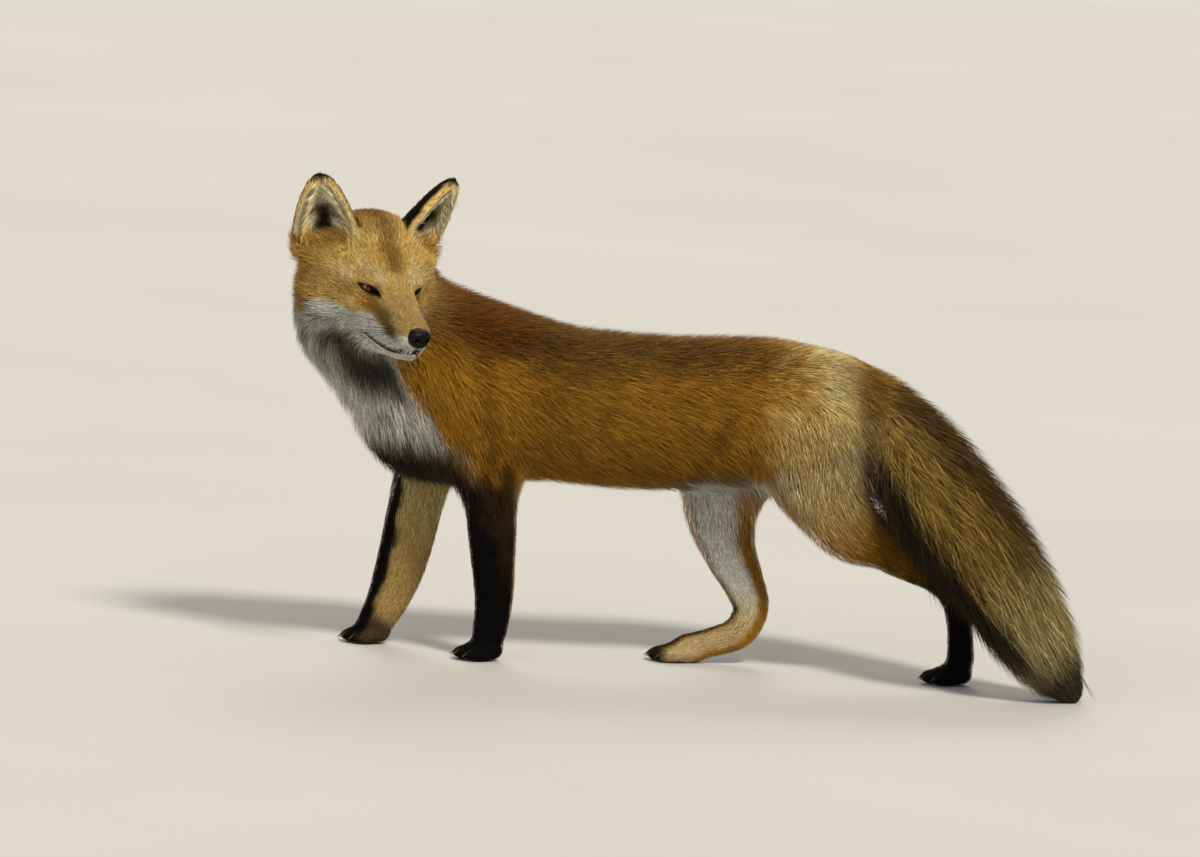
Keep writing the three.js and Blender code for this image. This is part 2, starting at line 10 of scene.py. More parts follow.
import bmesh
import bpy
import numpy as np
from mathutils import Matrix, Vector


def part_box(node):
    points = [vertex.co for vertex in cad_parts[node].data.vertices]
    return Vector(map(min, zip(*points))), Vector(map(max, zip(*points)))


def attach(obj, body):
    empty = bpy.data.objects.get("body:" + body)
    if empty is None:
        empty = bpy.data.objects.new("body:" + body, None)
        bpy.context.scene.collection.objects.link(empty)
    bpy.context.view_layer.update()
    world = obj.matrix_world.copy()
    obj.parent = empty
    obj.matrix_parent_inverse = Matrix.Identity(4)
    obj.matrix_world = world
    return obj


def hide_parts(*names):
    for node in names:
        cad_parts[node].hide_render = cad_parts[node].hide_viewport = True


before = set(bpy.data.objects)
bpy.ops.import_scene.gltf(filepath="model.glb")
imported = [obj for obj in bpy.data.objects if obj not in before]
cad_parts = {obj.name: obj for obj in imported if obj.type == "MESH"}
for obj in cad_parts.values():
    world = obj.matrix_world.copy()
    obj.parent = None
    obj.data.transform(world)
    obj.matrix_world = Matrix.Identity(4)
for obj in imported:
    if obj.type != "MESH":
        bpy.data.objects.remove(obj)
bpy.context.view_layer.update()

import openvdb
from mathutils import Matrix, Vector

FAR = 1e3  # a distance, in mm, beyond which nothing matters

# ---------------------------------------------------------------- the solids' design
HEAD = {"eyes": (-326.5, -115, 376), "turn": 109.5, "nod": 17, "roll": -1}
EYE = {"radius": 8.2, "pupil": (0, 27.5, 0), "outward": 32, "hollow": 15}
EAR = {"root": (-62, 52, 28), "tip": (-60, 76, 96), "half_width": 35.5, "depth": 0.6, "outward": 28}
NOSE = {"at": (73, 0, -20), "half": (9, 11, 9.5)}

# Trunk sections: x, height of the back, height of the belly and half the width.
TRUNK = [
    (-318, 282, 225, 26),
    (-300, 310, 195, 45),
    (-262, 330, 177, 58),
    (-205, 344, 175, 64),
    (-150, 341, 178, 65),
    (-85, 337, 174, 65),
    (-10, 336, 175, 63),
    (50, 339, 181, 61),
    (105, 336, 192, 60),
    (145, 325, 216, 56),
    (172, 308, 240, 42),
    (190, 284, 262, 16),
]
TRUNK_SQUARENESS = 2.25

# Limbs run through stations: x, y, z, radius.
NECK = [
    (-205, 0, 266, 70),
    (-250, 0, 286, 70),
    (-296, -6, 312, 70),
    (-336, -20, 334, 74),
    (-348, -40, 368, 60),
]
TAIL = [
    (166, 2, 282, 36),
    (194, -9, 262, 48),
    (230, -41, 226, 57),
    (270, -86, 177, 59),
    (306, -113, 127, 58),
    (333, -121, 84, 53),
    (357, -118, 52, 44),
    (373, -117, 28, 31),
    (389, -114, 11, 14),
]
LEGS = {
    "fore_left": [
        (-212, -44, 245, 42),
        (-204, -43, 196, 35),
        (-198, -41, 150, 27),
        (-192, -39, 100, 23),
        (-188, -38, 60, 20),
        (-190, -38, 30, 18),
    ],
    "fore_right": [
        (-238, 44, 245, 42),
        (-254, 43, 190, 33),
        (-262, 42, 140, 29),
        (-273, 40, 78, 26),
        (-286, 39, 38, 21),
        (-294, 39, 24, 18),
    ],
    "hind_left": [
        (128, -40, 232, 56),
        (138, -42, 190, 46),
        (166, -41, 152, 35),
        (202, -40, 136, 24),
        (230, -39, 119, 17),
        (256, -38, 108, 15),
        (280, -38, 92, 17),
        (288, -38, 62, 14),
        (292, -38, 28, 15),
    ],
    "hind_right": [
        (80, 38, 235, 52),
        (50, 40, 190, 46),
        (49, 38, 155, 40),
        (60, 34, 115, 28),
        (76, 30, 84, 22),
        (86, 27, 58, 19),
        (76, 25, 34, 18),
        (50, 24, 22, 16),
        (24, 22, 15, 15),
    ],
}
LEG_FLATNESS = 1.3
# Paws: the point under the wrist or ankle, the reach ahead of it and the heading in degrees from -X.
PAWS = {
    "fore_left": ((-190, -38), 36, 6),
    "fore_right": ((-294, 39), 34, 0),
    "hind_left": ((290, -38), 38, 4),
    "hind_right": ((24, 22), 42, 0),
}
PAW_WIDTH = 34
PAW_HEIGHT = 24
TOES = (-1.5, -0.5, 0.5, 1.5)
# Masses of the chest, shoulders and thighs: centre, half lengths and tilt about Y.
MASSES = [
    ((-276, -5, 246), (64, 52, 70), 0),
    ((-208, -42, 255), (44, 28, 80), -14),
    ((-222, 42, 255), (44, 28, 80), -14),
    ((128, -36, 250), (58, 34, 80), -14),
    ((88, 36, 245), (56, 34, 76), 16),
]
BLEND = {"head": 14, "hollow": 6, "paw": 9, "mass": 30, "throat": 26, "neck": 50, "tail": 24, "leg": 26}


# ---------------------------------------------------------------- distance fields
# Numbers without a name are places and lengths in mm: where a ramp starts and ends, or a blob lies.
def blend(a, b, k):
    """The smooth minimum of two distances, blending over k."""
    h = np.maximum(k - np.abs(a - b), 0) / k
    return np.minimum(a, b) - h * h * k / 4


def carve(a, b, k):
    """Form a with form b cut away, rounded over k."""
    return -blend(-a, b, k)


def ramp(x, start, end):
    """0 at start and 1 at end, with a smooth rise between them."""
    t = np.clip((x - start) / (end - start), 0, 1)
    return t * t * (3 - 2 * t)


def unit(v):
    return v / np.maximum(np.linalg.norm(v, axis=-1, keepdims=True), 1e-9)


def smooth_curve(stations, steps):
    """Beads along the centripetal Catmull-Rom curve through stations, with their radii in between."""
    s = np.array(stations, float)
    ends = np.vstack([2 * s[0] - s[1], s, 2 * s[-1] - s[-2]])
    beads = []
    for i in range(len(s) - 1):
        p0, p1, p2, p3 = (ends[i + k, :3] for k in range(4))
        d0, d1, d2 = (math.sqrt(np.linalg.norm(b - a)) for a, b in ((p0, p1), (p1, p2), (p2, p3)))
        t1 = ((p1 - p0) / d0 - (p2 - p0) / (d0 + d1) + (p2 - p1) / d1) * d1
        t2 = ((p2 - p1) / d1 - (p3 - p1) / (d1 + d2) + (p3 - p2) / d2) * d1
        for k in range(steps + (i == len(s) - 2)):
            t = k / steps
            point = p1 + t1 * t + (3 * (p2 - p1) - 2 * t1 - t2) * t**2 + (2 * (p1 - p2) + t1 + t2) * t**3
            beads.append([*point, s[i, 3] + (s[i + 1, 3] - s[i, 3]) * t])
    return np.array(beads)


class Limb:
    """A round limb along a smooth curve through stations, flattened across Y where asked."""

    REACH = 75  # how far out the limb's distance is worked out

    def __init__(self, stations, flatness=1.0, steps=5):
        self.mid, self.flatness = stations[0][1], flatness
        s = np.array(stations, float)
        self.low = s[:, :3].min(0) - s[:, 3].max() - self.REACH
        self.high = s[:, :3].max(0) + s[:, 3].max() + self.REACH
        self.beads = smooth_curve(self.widened(s), steps)
        self.places = np.linspace(0, 1, len(self.beads))
        self.headings = unit(np.gradient(self.beads[:, :3], axis=0))

    def widened(self, p):
        q = np.array(p, float)
        q[:, 1] = self.mid + (q[:, 1] - self.mid) * self.flatness
        return q

    def near(self, p):
        """The distance of each point to the surface, and its place along the limb from 0 to 1."""
        distance = np.full(len(p), FAR)
        along = np.zeros(len(p))
        close = np.all((p > self.low) & (p < self.high), axis=1)
        q = self.widened(p[close])
        best = np.full(len(q), FAR)
        place = np.zeros(len(q))
        for i, (a, b) in enumerate(zip(self.beads, self.beads[1:])):
            step = b[:3] - a[:3]
            length = np.linalg.norm(step)
            widening = np.clip((b[3] - a[3]) / length, -0.95, 0.95)
            off = q - a[:3]
            s = off @ step / length
            away = np.sqrt(np.maximum(np.einsum("ij,ij->i", off, off) - s * s, 0))
            t = np.clip((s + away * widening / math.sqrt(1 - widening**2)) / length, 0, 1)
            d = np.hypot(away, s - t * length) - a[3] - (b[3] - a[3]) * t
            nearer = d < best
            best[nearer] = d[nearer]
            place[nearer] = i + t[nearer]
        distance[close] = best
        along[close] = place / (len(self.beads) - 1)
        return distance, along

    def heading(self, along):
        return np.stack([np.interp(along, self.places, self.headings[:, k]) for k in range(3)], 1)

    def radius(self, along):
        return np.interp(along, self.places, self.beads[:, 3])

    def centre(self, along):
        return np.stack([np.interp(along, self.places, self.beads[:, k]) for k in range(3)], 1)


def ellipsoid(p, at, half, tilt=0):
    """The distance to an ellipsoid that is tilted about its own Y axis."""
    c, s = math.cos(math.radians(tilt)), math.sin(math.radians(tilt))
    x, y, z = (p - np.array(at)).T
    q = np.stack([(x * c + z * s) / half[0], y / half[1], (z * c - x * s) / half[2]], 1)
    k0 = np.linalg.norm(q, axis=1)
    k1 = np.linalg.norm(q / np.array(half), axis=1)
    return np.where(k1 > 0, k0 * (k0 - 1) / np.maximum(k1, 1e-9), -min(half))


def column(table, k, x):
    """Cubic interpolation of column k of a table whose first column is x."""
    t = np.array(table, float)
    n = len(t) - 1
    slopes = [(t[min(i + 1, n), k] - t[max(i - 1, 0), k]) / (t[min(i + 1, n), 0] - t[max(i - 1, 0), 0])
              for i in range(n + 1)]
    i = np.clip(np.searchsorted(t[:, 0], x) - 1, 0, n - 1)
    w = t[i + 1, 0] - t[i, 0]
    u = np.clip((x - t[i, 0]) / w, 0, 1)
    s = u * u * (3 - 2 * u)
    slopes = np.array(slopes)
    bend = (u * (1 - u) ** 2 * slopes[i] + u * u * (u - 1) * slopes[i + 1]) * w
    return t[i, k] * (1 - s) + t[i + 1, k] * s + bend


def trunk_section(x):
    """Height of the back, height of the belly and half the width of the trunk at x."""
    at = np.clip(x, TRUNK[0][0], TRUNK[-1][0])
    return at, column(TRUNK, 1, at), column(TRUNK, 2, at), column(TRUNK, 3, at)


def body_field(p):
    """The trunk with the masses of the chest, shoulders and thighs."""
    x, y, z = p.T
    at, top, bottom, half = trunk_section(x)
    height = (top - bottom) / 2
    v = np.abs(y) / half
    w = np.abs(z - bottom - height) / height
    q = (v**TRUNK_SQUARENESS + w**TRUNK_SQUARENESS) ** (1 / TRUNK_SQUARENESS)
    d = (q - 1) * np.minimum(height, half)
    d = np.minimum(d, 0) + np.hypot(np.maximum(d, 0), x - at)
    for at, half, tilt in MASSES:
        d = blend(d, ellipsoid(p, at, half, tilt), BLEND["mass"])
    return d


# ---------------------------------------------------------------- the head's frame
def turn(axis, degrees):
    return np.array(Matrix.Rotation(math.radians(degrees), 3, axis))


HEAD_AXES = turn("Z", 180 + HEAD["turn"]) @ turn("Y", HEAD["nod"]) @ turn("X", HEAD["roll"])


def to_head(p):
    """Points of the fox's frame in the head's: +X to the nose, +Y to the fox's left, +Z up."""
    return (p - np.array(HEAD["eyes"])) @ HEAD_AXES


def from_head(p):
    return np.asarray(p, float) @ HEAD_AXES.T + np.array(HEAD["eyes"])


MUZZLE = Limb([(-4, 0, -12, 28), (24, 0, -16, 21), (50, 0, -21, 16), (66, 0, -23, 13.5)])
JAW = Limb([(-8, 0, -42, 26), (26, 0, -44, 16.5), (50, 0, -42, 11.5), (64, 0, -39.5, 8.5)])


def gaze(side):
    """The way an eye looks, in the head's frame."""
    angle = math.radians(EYE["outward"])
    return np.array([math.cos(angle), side * math.sin(angle), 0])


def to_left(h):
    """Points of the head, with those on its right mirrored to its left."""
    return np.stack([h[:, 0], np.abs(h[:, 1]), h[:, 2]], 1)


def eye_centre(side):
    return np.array(EYE["pupil"]) * (1, side, 1) - EYE["radius"] * gaze(side)


def head_forms(h):
    """The head without its eyes, ears and nose leather, in its own frame."""
    forms = [
        ellipsoid(h, (-60, 0, 10), (46, 56, 47)),
        ellipsoid(h, (-24, 0, 4), (28, 36, 25)),
        ellipsoid(h, (-50, 0, -36), (48, 40, 32)),
        MUZZLE.near(h)[0],
        JAW.near(h)[0],
    ]
    for side in (1, -1):
        forms.append(ellipsoid(h, (-28, side * 32, -20), (28, 20, 20)))
        forms.append(ellipsoid(h, (-56, side * 44, 6), (34, 25, 36)))
        forms.append(ellipsoid(h, (-56, side * 40, -34), (38, 34, 32)))
    d = np.full(len(h), FAR)
    for form in forms:
        d = blend(d, form, BLEND["head"])
    return d


# ---------------------------------------------------------------- ears, paws and the face's details
EAR_ROOT, EAR_TIP = np.array(EAR["root"], float), np.array(EAR["tip"], float)
EAR_HEIGHT = np.linalg.norm(EAR_TIP - EAR_ROOT)
EAR_FOOT = -0.3  # where the ear's cone ends inside the head, in ear heights
CUP_FOOT = -0.12
EAR_COAT = 1.2
EAR_WALL = 2.6


def ear_axes(side):
    """Unit vectors across, up and out of the cup of an ear, in the head's frame."""
    up = unit((EAR_TIP - EAR_ROOT) * (1, side, 1))
    faces = turn("Z", side * EAR["outward"]) @ (1, 0, 0)
    across = unit(np.cross(up, faces))
    return across, up, np.cross(across, up)


def ear_place(h, side, forward=0.0):
    """Points in an ear's own terms: across, height from 0 at the root to 1 at the tip, and out."""
    across, up, out = ear_axes(side)
    q = h - EAR_ROOT * (1, side, 1) - out * forward * EAR["half_width"] * EAR["depth"]
    return q @ across, q @ up / EAR_HEIGHT, q @ out / EAR["depth"]


def ear_cone(h, side, inset, forward, foot):
    """A flattened cone with a rounded tip, `inset` inside the ear's outer surface."""
    u, t, w = ear_place(h, side, forward)
    width = EAR["half_width"] - inset
    height = EAR_HEIGHT - 1.6 * inset
    t = t * EAR_HEIGHT / height
    waist = 1 - 0.55 * np.maximum(0.25 - t, 0) ** 1.2
    g = (u * u + w * w) / width**2 - (1 - t) * waist**2
    slope = np.sqrt((2 * np.sqrt(u * u + w * w) / width**2) ** 2 + 1 / height**2)
    return np.maximum(g / slope * 0.8, (foot - t) * height)


def ear_shell(h, side):
    outer = ear_cone(h, side, EAR_COAT, 0, EAR_FOOT)
    cup = ear_cone(h, side, EAR_COAT + EAR_WALL, 0.5, CUP_FOOT)
    return carve(outer, cup, 1.5)


def paw_frame(name):
    (x, y), reach, heading = PAWS[name]
    return turn("Z", 180 + heading), np.array((x, y, 0)), reach


def toe_tip(reach, place):
    return (reach if abs(place) < 1 else reach - 8) - 7, place * PAW_WIDTH * 1.05 / len(TOES), 6.5


def paw_limbs(name):
    reach = PAWS[name][1]
    limbs = []
    for place in TOES:
        x, y, z = toe_tip(reach, place)
        limbs.append(Limb([(4, y * 0.7, z + 5, 8.5), (x - 10, y, z + 2, 8), (x, y, z, 7)]))
    return limbs


PAW_LIMBS = {name: paw_limbs(name) for name in PAWS}


def paw_field(p, name):
    axes, at, _ = paw_frame(name)
    d = np.full(len(p), FAR)
    close = np.linalg.norm(p - at, axis=1) < 120
    q = (p[close] - at) @ axes
    paw = ellipsoid(q, (4, 0, PAW_HEIGHT * 0.44), (20, PAW_WIDTH * 0.46, PAW_HEIGHT * 0.5))
    for limb in PAW_LIMBS[name]:
        paw = blend(paw, limb.near(q)[0], BLEND["paw"] / 2)
    d[close] = paw
    return d


# An eye's opening is an almond between two arcs, in the plane across its gaze.
OPENING = {"half": 11.5, "upper": 3.9, "lower": 2.6, "slant": 12}
LID = 1.8  # how far the lids stand out over the eyeball


def eye_place(h, side):
    """Points in an eye's own terms: along its opening to the nose, up across it, and out."""
    out = gaze(side)
    level = np.cross((0, 0, 1), out) * -side
    slant = math.radians(OPENING["slant"])
    along = level * math.cos(slant) - np.array((0, 0, math.sin(slant)))
    up = level * math.sin(slant) + np.array((0, 0, math.cos(slant)))
    q = h - eye_centre(side)
    return q @ along, q @ up, q @ out


def almond(a, b):
    """The distance to the edge of an eye's opening, negative inside it."""
    distances = []
    for rise, sign in ((OPENING["upper"], 1), (OPENING["lower"], -1)):
        radius = (OPENING["half"] ** 2 + rise**2) / (2 * rise)
        distances.append(np.hypot(a, b + sign * (radius - rise)) - radius)
    return np.maximum(*distances)


# The lip line, seen from the side: x and z in the head's frame, from the corner of the mouth forwards.
LIP_LINE = [(4, -46), (13, -47.5), (22, -48.2), (31, -48.5), (42, -47), (53, -43.5), (64, -39.5), (72, -36.5)]
LIP_FRONT = (77, 0, -34.5)
LIP_GROOVE = 1.3  # radius


def lips():
    """The groove of the lips on the left side, laid on the head's skin."""
    y = np.linspace(0, 40, 161)
    stations = []
    for x, z in LIP_LINE:
        h = np.stack([np.full(len(y), x), y, np.full(len(y), z)], 1)
        inside = head_forms(h) + head_depth(h) < 0
        stations.append((x, y[inside].max(initial=0), z, LIP_GROOVE))
    return Limb([*stations, (*LIP_FRONT, LIP_GROOVE)])


def face_details(d, h):
    """Adds the lids, the lip line, the whisker pads and the ears to the head's skin."""
    for side in (1, -1):
        pad = ellipsoid(h, (55, side * 8.5, -21), (15, 8, 9.5))
        d = blend(d, pad, 8)
        brow = ellipsoid(h, (-2, side * 20, 10.5), (13, 9, 4.5), -10)
        d = blend(d, brow, 8)
        ball = np.linalg.norm(h - eye_centre(side), axis=1)
        d = blend(d, ball - EYE["radius"] - LID, 7)
        a, b, out = eye_place(h, side)
        opening = np.maximum(np.maximum(almond(a, b), 3.0 - out), EYE["radius"] - 0.8 - ball)
        d = carve(d, opening, 1.2)
        mirrored = h * (1, side, 1)
        d = carve(d, LIPS.near(mirrored)[0], 1.6)
        d = blend(d, ear_shell(h, side), 5)
        d = carve(d, ear_cone(h, side, EAR_COAT + EAR_WALL + 1.0, 0.55, CUP_FOOT), 3)
    nose_seat = ellipsoid(h, NOSE["at"], np.array(NOSE["half"]) - 1.2)
    return carve(d, nose_seat, 1.5)


def head_coat(h):
    """The outer surface of the head's coat, as in the solids."""
    d = head_forms(h)
    reach = EYE["hollow"] * 0.8
    for side in (1, -1):
        at = np.array(EYE["pupil"]) * (1, side, 1) + reach * gaze(side)
        d = carve(d, ellipsoid(h, at, (EYE["hollow"], EYE["hollow"], reach)), BLEND["hollow"])
    return d


def head_depth(h):
    """Depth of the coat on the head: shortest on the muzzle, deepest on the cheeks and throat."""
    x, y, z = h.T
    back = ramp(-x, 0, 68)
    low = ramp(-z, 2, 50)
    return 1.5 + back * (4.5 + 9 * low) + 1.2 * low


LIPS = lips()


# ---------------------------------------------------------------- the body's parts
NECK_LIMB, TAIL_LIMB = Limb(NECK), Limb(TAIL)
LEG_LIMBS = {name: Limb(stations, LEG_FLATNESS) for name, stations in LEGS.items()}
TAIL_CORE = (20, 8)  # radius of the tail's skin at its root and tip
SOFT = 9  # mm over which one part's coat passes into the next one's


def direction(*parts):
    return unit(np.stack(np.broadcast_arrays(*parts), -1).astype(float))


class Survey:
    """What the fox is like at each of a set of points: the parts near it, its coat and its lie."""

    def __init__(self, p):
        self.p = p
        self.h = to_head(p)
        self.body = body_field(p)
        self.neck, self.neck_along = NECK_LIMB.near(p)
        self.tail, self.tail_along = TAIL_LIMB.near(p)
        self.head = np.full(len(p), FAR)
        self.by_head = np.linalg.norm(self.h, axis=1) < 190
        self.head[self.by_head] = head_coat(self.h[self.by_head])
        self.legs, self.legs_along, self.paws = {}, {}, {}
        for name, limb in LEG_LIMBS.items():
            self.legs[name], self.legs_along[name] = limb.near(p)
            self.paws[name] = paw_field(p, name)
        front = blend(self.neck, self.head, BLEND["throat"])
        self.coat = np.minimum(
            blend(self.body, front, BLEND["neck"]),
            blend(self.body, self.tail, BLEND["tail"]),
        )
        for name in LEGS:
            leg = blend(self.legs[name], self.paws[name], BLEND["paw"])
            self.coat = np.minimum(self.coat, blend(self.body, leg, BLEND["leg"]))
        self.find_weights()

    def find_weights(self):
        """How much each part has to say at each point."""
        distances = {"body": self.body, "neck": self.neck, "head": self.head - 4, "tail": self.tail - 4}
        for name in LEGS:
            distances[name] = self.legs[name]
            distances[f"{name}_paw"] = self.paws[name] - 2
        nearest = np.minimum.reduce(list(distances.values()))
        self.weights = {name: np.exp((nearest - d) / SOFT) for name, d in distances.items()}
        total = sum(self.weights.values())
        for name in self.weights:
            self.weights[name] /= total

    def mixed(self, values):
        """One value of each part, mixed by the parts' weights."""
        total = 0
        for name, weight in self.weights.items():
            value = values[name]
            total = total + (weight[:, None] * value if np.ndim(value) == 2 else weight * value)
        return total

    def depth(self):
        """Depth of the coat."""
        x, y, z = self.p.T
        low = ramp(-z, -330, -200)
        body = 14 + 4 * low - 3 * ramp(x, 60, 150) + 5 * ramp(-x, 230, 290)
        belly = ramp(-z, -205, -180) * ramp(x, -170, -120)
        depths = {
            "body": body - 4 * belly,
            "neck": 14 + 9 * ramp(-z, -360, -260),
            "head": head_depth(self.h),
            "tail": TAIL_LIMB.radius(self.tail_along)
            - TAIL_CORE[0] - (TAIL_CORE[1] - TAIL_CORE[0]) * self.tail_along,
        }
        for name in LEGS:
            depths[name] = 3 + 10 * (1 - ramp(self.legs_along[name], 0.05, 0.5))
            depths[f"{name}_paw"] = 2.0
        return self.mixed(depths)

    def lie(self):
        """The way the coat lies, from root to tip."""
        x, y, z = self.p.T
        flank = ramp(-z, -330, -220)
        thigh = ramp(x, 60, 140) * ramp(-z, -320, -250)
        chest = ramp(-x, 210, 280) * ramp(-z, -330, -250)
        droop = 0.12 + 0.4 * flank + 0.7 * thigh + 1.5 * chest
        out = np.sign(y) * 0.15 * (1 - flank)
        neck = -NECK_LIMB.heading(self.neck_along)
        ventral = ramp(-(z - 300 - 0.25 * (-x - 260)), -40, 60)
        lies = {
            "body": direction(np.ones(len(x)), out, -droop),
            "neck": unit(neck + ventral[:, None] * (0.1, 0, -0.9) + (0, 0, -0.25)),
            "head": unit((self.h - np.array(NOSE["at"]) + (6, 0, 0)) @ HEAD_AXES.T),
            "tail": TAIL_LIMB.heading(self.tail_along),
        }
        for name in LEGS:
            lies[name] = LEG_LIMBS[name].heading(self.legs_along[name])
            axes, _, _ = paw_frame(name)
            lies[f"{name}_paw"] = np.broadcast_to(axes @ (0.9, 0, -0.3), (len(x), 3))
        return unit(self.mixed(lies))

    def ears(self):
        """For each ear: its share at each point, and whether the point is at the cup inside it."""
        found = []
        for side in (1, -1):
            share = np.zeros(len(self.p))
            inner = np.zeros(len(self.p), bool)
            near = self.by_head
            h = self.h[near]
            _, t, _ = ear_place(h, side)
            share[near] = (1 - ramp(ear_shell(h, side), 2, 6)) * ramp(t, -0.02, 0.14)
            cup = ear_cone(h, side, EAR_COAT + EAR_WALL, 0.5, CUP_FOOT)
            inner[near] = cup < -ear_cone(h, side, EAR_COAT, 0, EAR_FOOT)
            found.append((side, share, inner))
        return found

    def above_tail(self):
        """1 along the upper edge of the tail and -1 along the lower."""
        out = self.p - TAIL_LIMB.centre(self.tail_along)
        return out @ (0.55, -0.1, 0.83) / np.maximum(np.linalg.norm(out, axis=1), 1)

    def fur(self):
        """The fur's height over the skin, its lie and its length."""
        x, _, z = self.p.T
        depth, lie = self.depth(), self.lie()
        tail = self.weights["tail"]
        fringe = tail * ramp(-self.above_tail(), 0.1, 0.8) * (1 - ramp(self.tail_along, 0.4, 0.6))
        nape = self.weights["neck"] * ramp(z + 0.35 * (x + 240), 296, 330)
        belly = ramp(-self.p[:, 2], -215, -185) * ramp(self.p[:, 0], -190, -150) * self.weights["body"]
        length = 3.2 + (1.45 + 0.45 * tail + 1.1 * belly) * depth
        length = length * (1 + 0.25 * fringe) * (1 - 0.8 * tail * ramp(self.tail_along, 0.8, 0.98))
        rear = (1 - tail) * ramp(x, 165, 190) * ramp(z, 130, 160) * ramp(-z, -250, -225)
        depth = depth * (1 + 1.1 * fringe) + 7 * nape + 8 * rear
        for side, share, inner in self.ears():
            across, up, _ = ear_axes(side)
            u, t, _ = ear_place(self.h, side)
            inward = up * 0.55 - np.sign(u)[:, None] * across * ramp(np.abs(u), 2, 16)[:, None]
            way = unit(np.where(inner[:, None], inward, up + 0 * inward) @ HEAD_AXES.T)
            lie = unit(lie * (1 - share)[:, None] + way * share[:, None])
            edge = ramp(np.abs(u) / (EAR["half_width"] * np.sqrt(np.clip(1 - t, 0.05, 1))), 0.35, 0.8)
            height = np.where(inner, 2.0 + 8.0 * edge, 1.3)
            long = np.where(inner, 7 + 15 * edge, 7.0)
            depth = depth * (1 - share) + height * share
            length = length * (1 - share) + long * share
        return depth, lie, length

    def skin(self):
        """The distance to the skin."""
        d = self.coat + self.depth()
        near = self.by_head
        d[near] = face_details(d[near], self.h[near])
        return d


# ---------------------------------------------------------------- from the design's frame to the room's
def design_to_room():
    """The solids are set on the middle of their box, so one ball shows how far the design was moved."""
    low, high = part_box("eye_left")
    return (np.array(low) + np.array(high)) / 2 - from_head(eye_centre(1)) / 1000


SHIFT = design_to_room()


def to_room(p):
    """Millimetres of the design as metres of the room."""
    return np.asarray(p) / 1000 + SHIFT


def new_object(name, mesh):
    ob = bpy.data.objects.new(name, mesh)
    bpy.context.scene.collection.objects.link(ob)
    return ob


# ---------------------------------------------------------------- the skin
GRID = 2.6  # mm between samples of the skin's field
COARSE = 3  # samples of the fine grid in one of the coarse grid
LOW, HIGH = np.array((-440, -200, -8), float), np.array((412, 100, 500), float)


def lattice(low, high, step):
    """The points of a grid in a box, and how many there are each way."""
    n = np.ceil((high - low) / step).astype(int) + 1
    axes = [low[k] + step * np.arange(n[k]) for k in range(3)]
    return np.stack(np.meshgrid(*axes, indexing="ij"), -1).reshape(-1, 3), n


def skin_at(p):
    return Survey(p).skin()


def settle(p, rounds):
    """Moves points onto the skin by Newton's method."""
    h = 0.25
    for _ in range(rounds):
        d = skin_at(p)
        slope = np.stack([skin_at(p + h * np.eye(3)[k]) - d for k in range(3)], 1) / h
        size = np.maximum(np.einsum("ij,ij->i", slope, slope), 0.15)
        move = -slope * (d / size)[:, None]
        p = p + move * np.minimum(1, 1.2 / np.maximum(np.linalg.norm(move, axis=1, keepdims=True), 1e-9))
    return p


def skin_quads():
    """The skin as a rough mesh of quads, from samples of its field that are fine only near it."""
    step = GRID * COARSE
    coarse, n = lattice(LOW, HIGH, step)
    rough = skin_at(coarse).reshape(n)
    values = np.where(rough < 0, -step, step).astype(np.float32)
    for axis in range(3):
        values = values.repeat(COARSE, axis)
    cells = np.argwhere(np.abs(rough) < step + 4)
    block = np.stack(np.meshgrid(*[np.arange(COARSE)] * 3, indexing="ij"), -1).reshape(-1, 3)
    fine = (cells[:, None] * COARSE + block).reshape(-1, 3)
    start = LOW - GRID * (COARSE // 2)
    values[tuple(fine.T)] = skin_at(start + fine * GRID)
    grid = openvdb.FloatGrid(step)
    grid.copyFromArray(values)
    points, quads = grid.convertToQuads(0.0)
    return start + np.array(points, float) * GRID, np.array(quads)[:, ::-1]


def refine(bm, wanted):
    """Halves the edges whose ends are wanted, and settles the new vertices."""
    bm.verts.ensure_lookup_table()
    points = np.array([v.co for v in bm.verts])
    mask = wanted(points)
    edges = [e for e in bm.edges if mask[e.verts[0].index] and mask[e.verts[1].index]]
    bmesh.ops.subdivide_edges(bm, edges=edges, cuts=1, use_grid_fill=True)
    bm.verts.ensure_lookup_table()
    bm.verts.index_update()
    points = np.array([v.co for v in bm.verts])
    mask = wanted(points)
    points[mask] = settle(points[mask], 2)
    for v, co in zip(bm.verts, points):
        v.co = co


def on_face(p):
    """The face and the ears, whose skin is finer."""
    h = to_head(p)
    return (np.linalg.norm(h - (20, 0, -12), axis=1) < 66) | ((h[:, 2] > 38) & (h[:, 0] > -105))


def on_features(p):
    """The eyes' surrounds and the lips, whose skin is finest."""
    folded = to_left(to_head(p))
    return (np.linalg.norm(folded - eye_centre(1) - 4 * gaze(1), axis=1) < 14) | (LIPS.near(folded)[0] < 3)


def skin_mesh():
    """The skin, with its vertices in the design's millimetres."""
    points, quads = skin_quads()
    points = settle(points, 2)
    mesh = bpy.data.meshes.new("skin")
    mesh.from_pydata(points.tolist(), [], quads.tolist())
    bm = bmesh.new()
    bm.from_mesh(mesh)
    refine(bm, on_face)
    refine(bm, on_features)
    for v in bm.verts:
        v.co.z = max(v.co.z, 0)
    bm.to_mesh(mesh)
    bm.free()
    return mesh


# ---------------------------------------------------------------- noise, colours and markings
def cell_corners(f):
    """The eight corners of a cell, with their weights for points at the shares f of it."""
    for corner in range(8):
        offset = np.array([corner & 1, corner >> 1 & 1, corner >> 2 & 1])
        yield offset, np.prod(np.where(offset, f, 1 - f), axis=1)


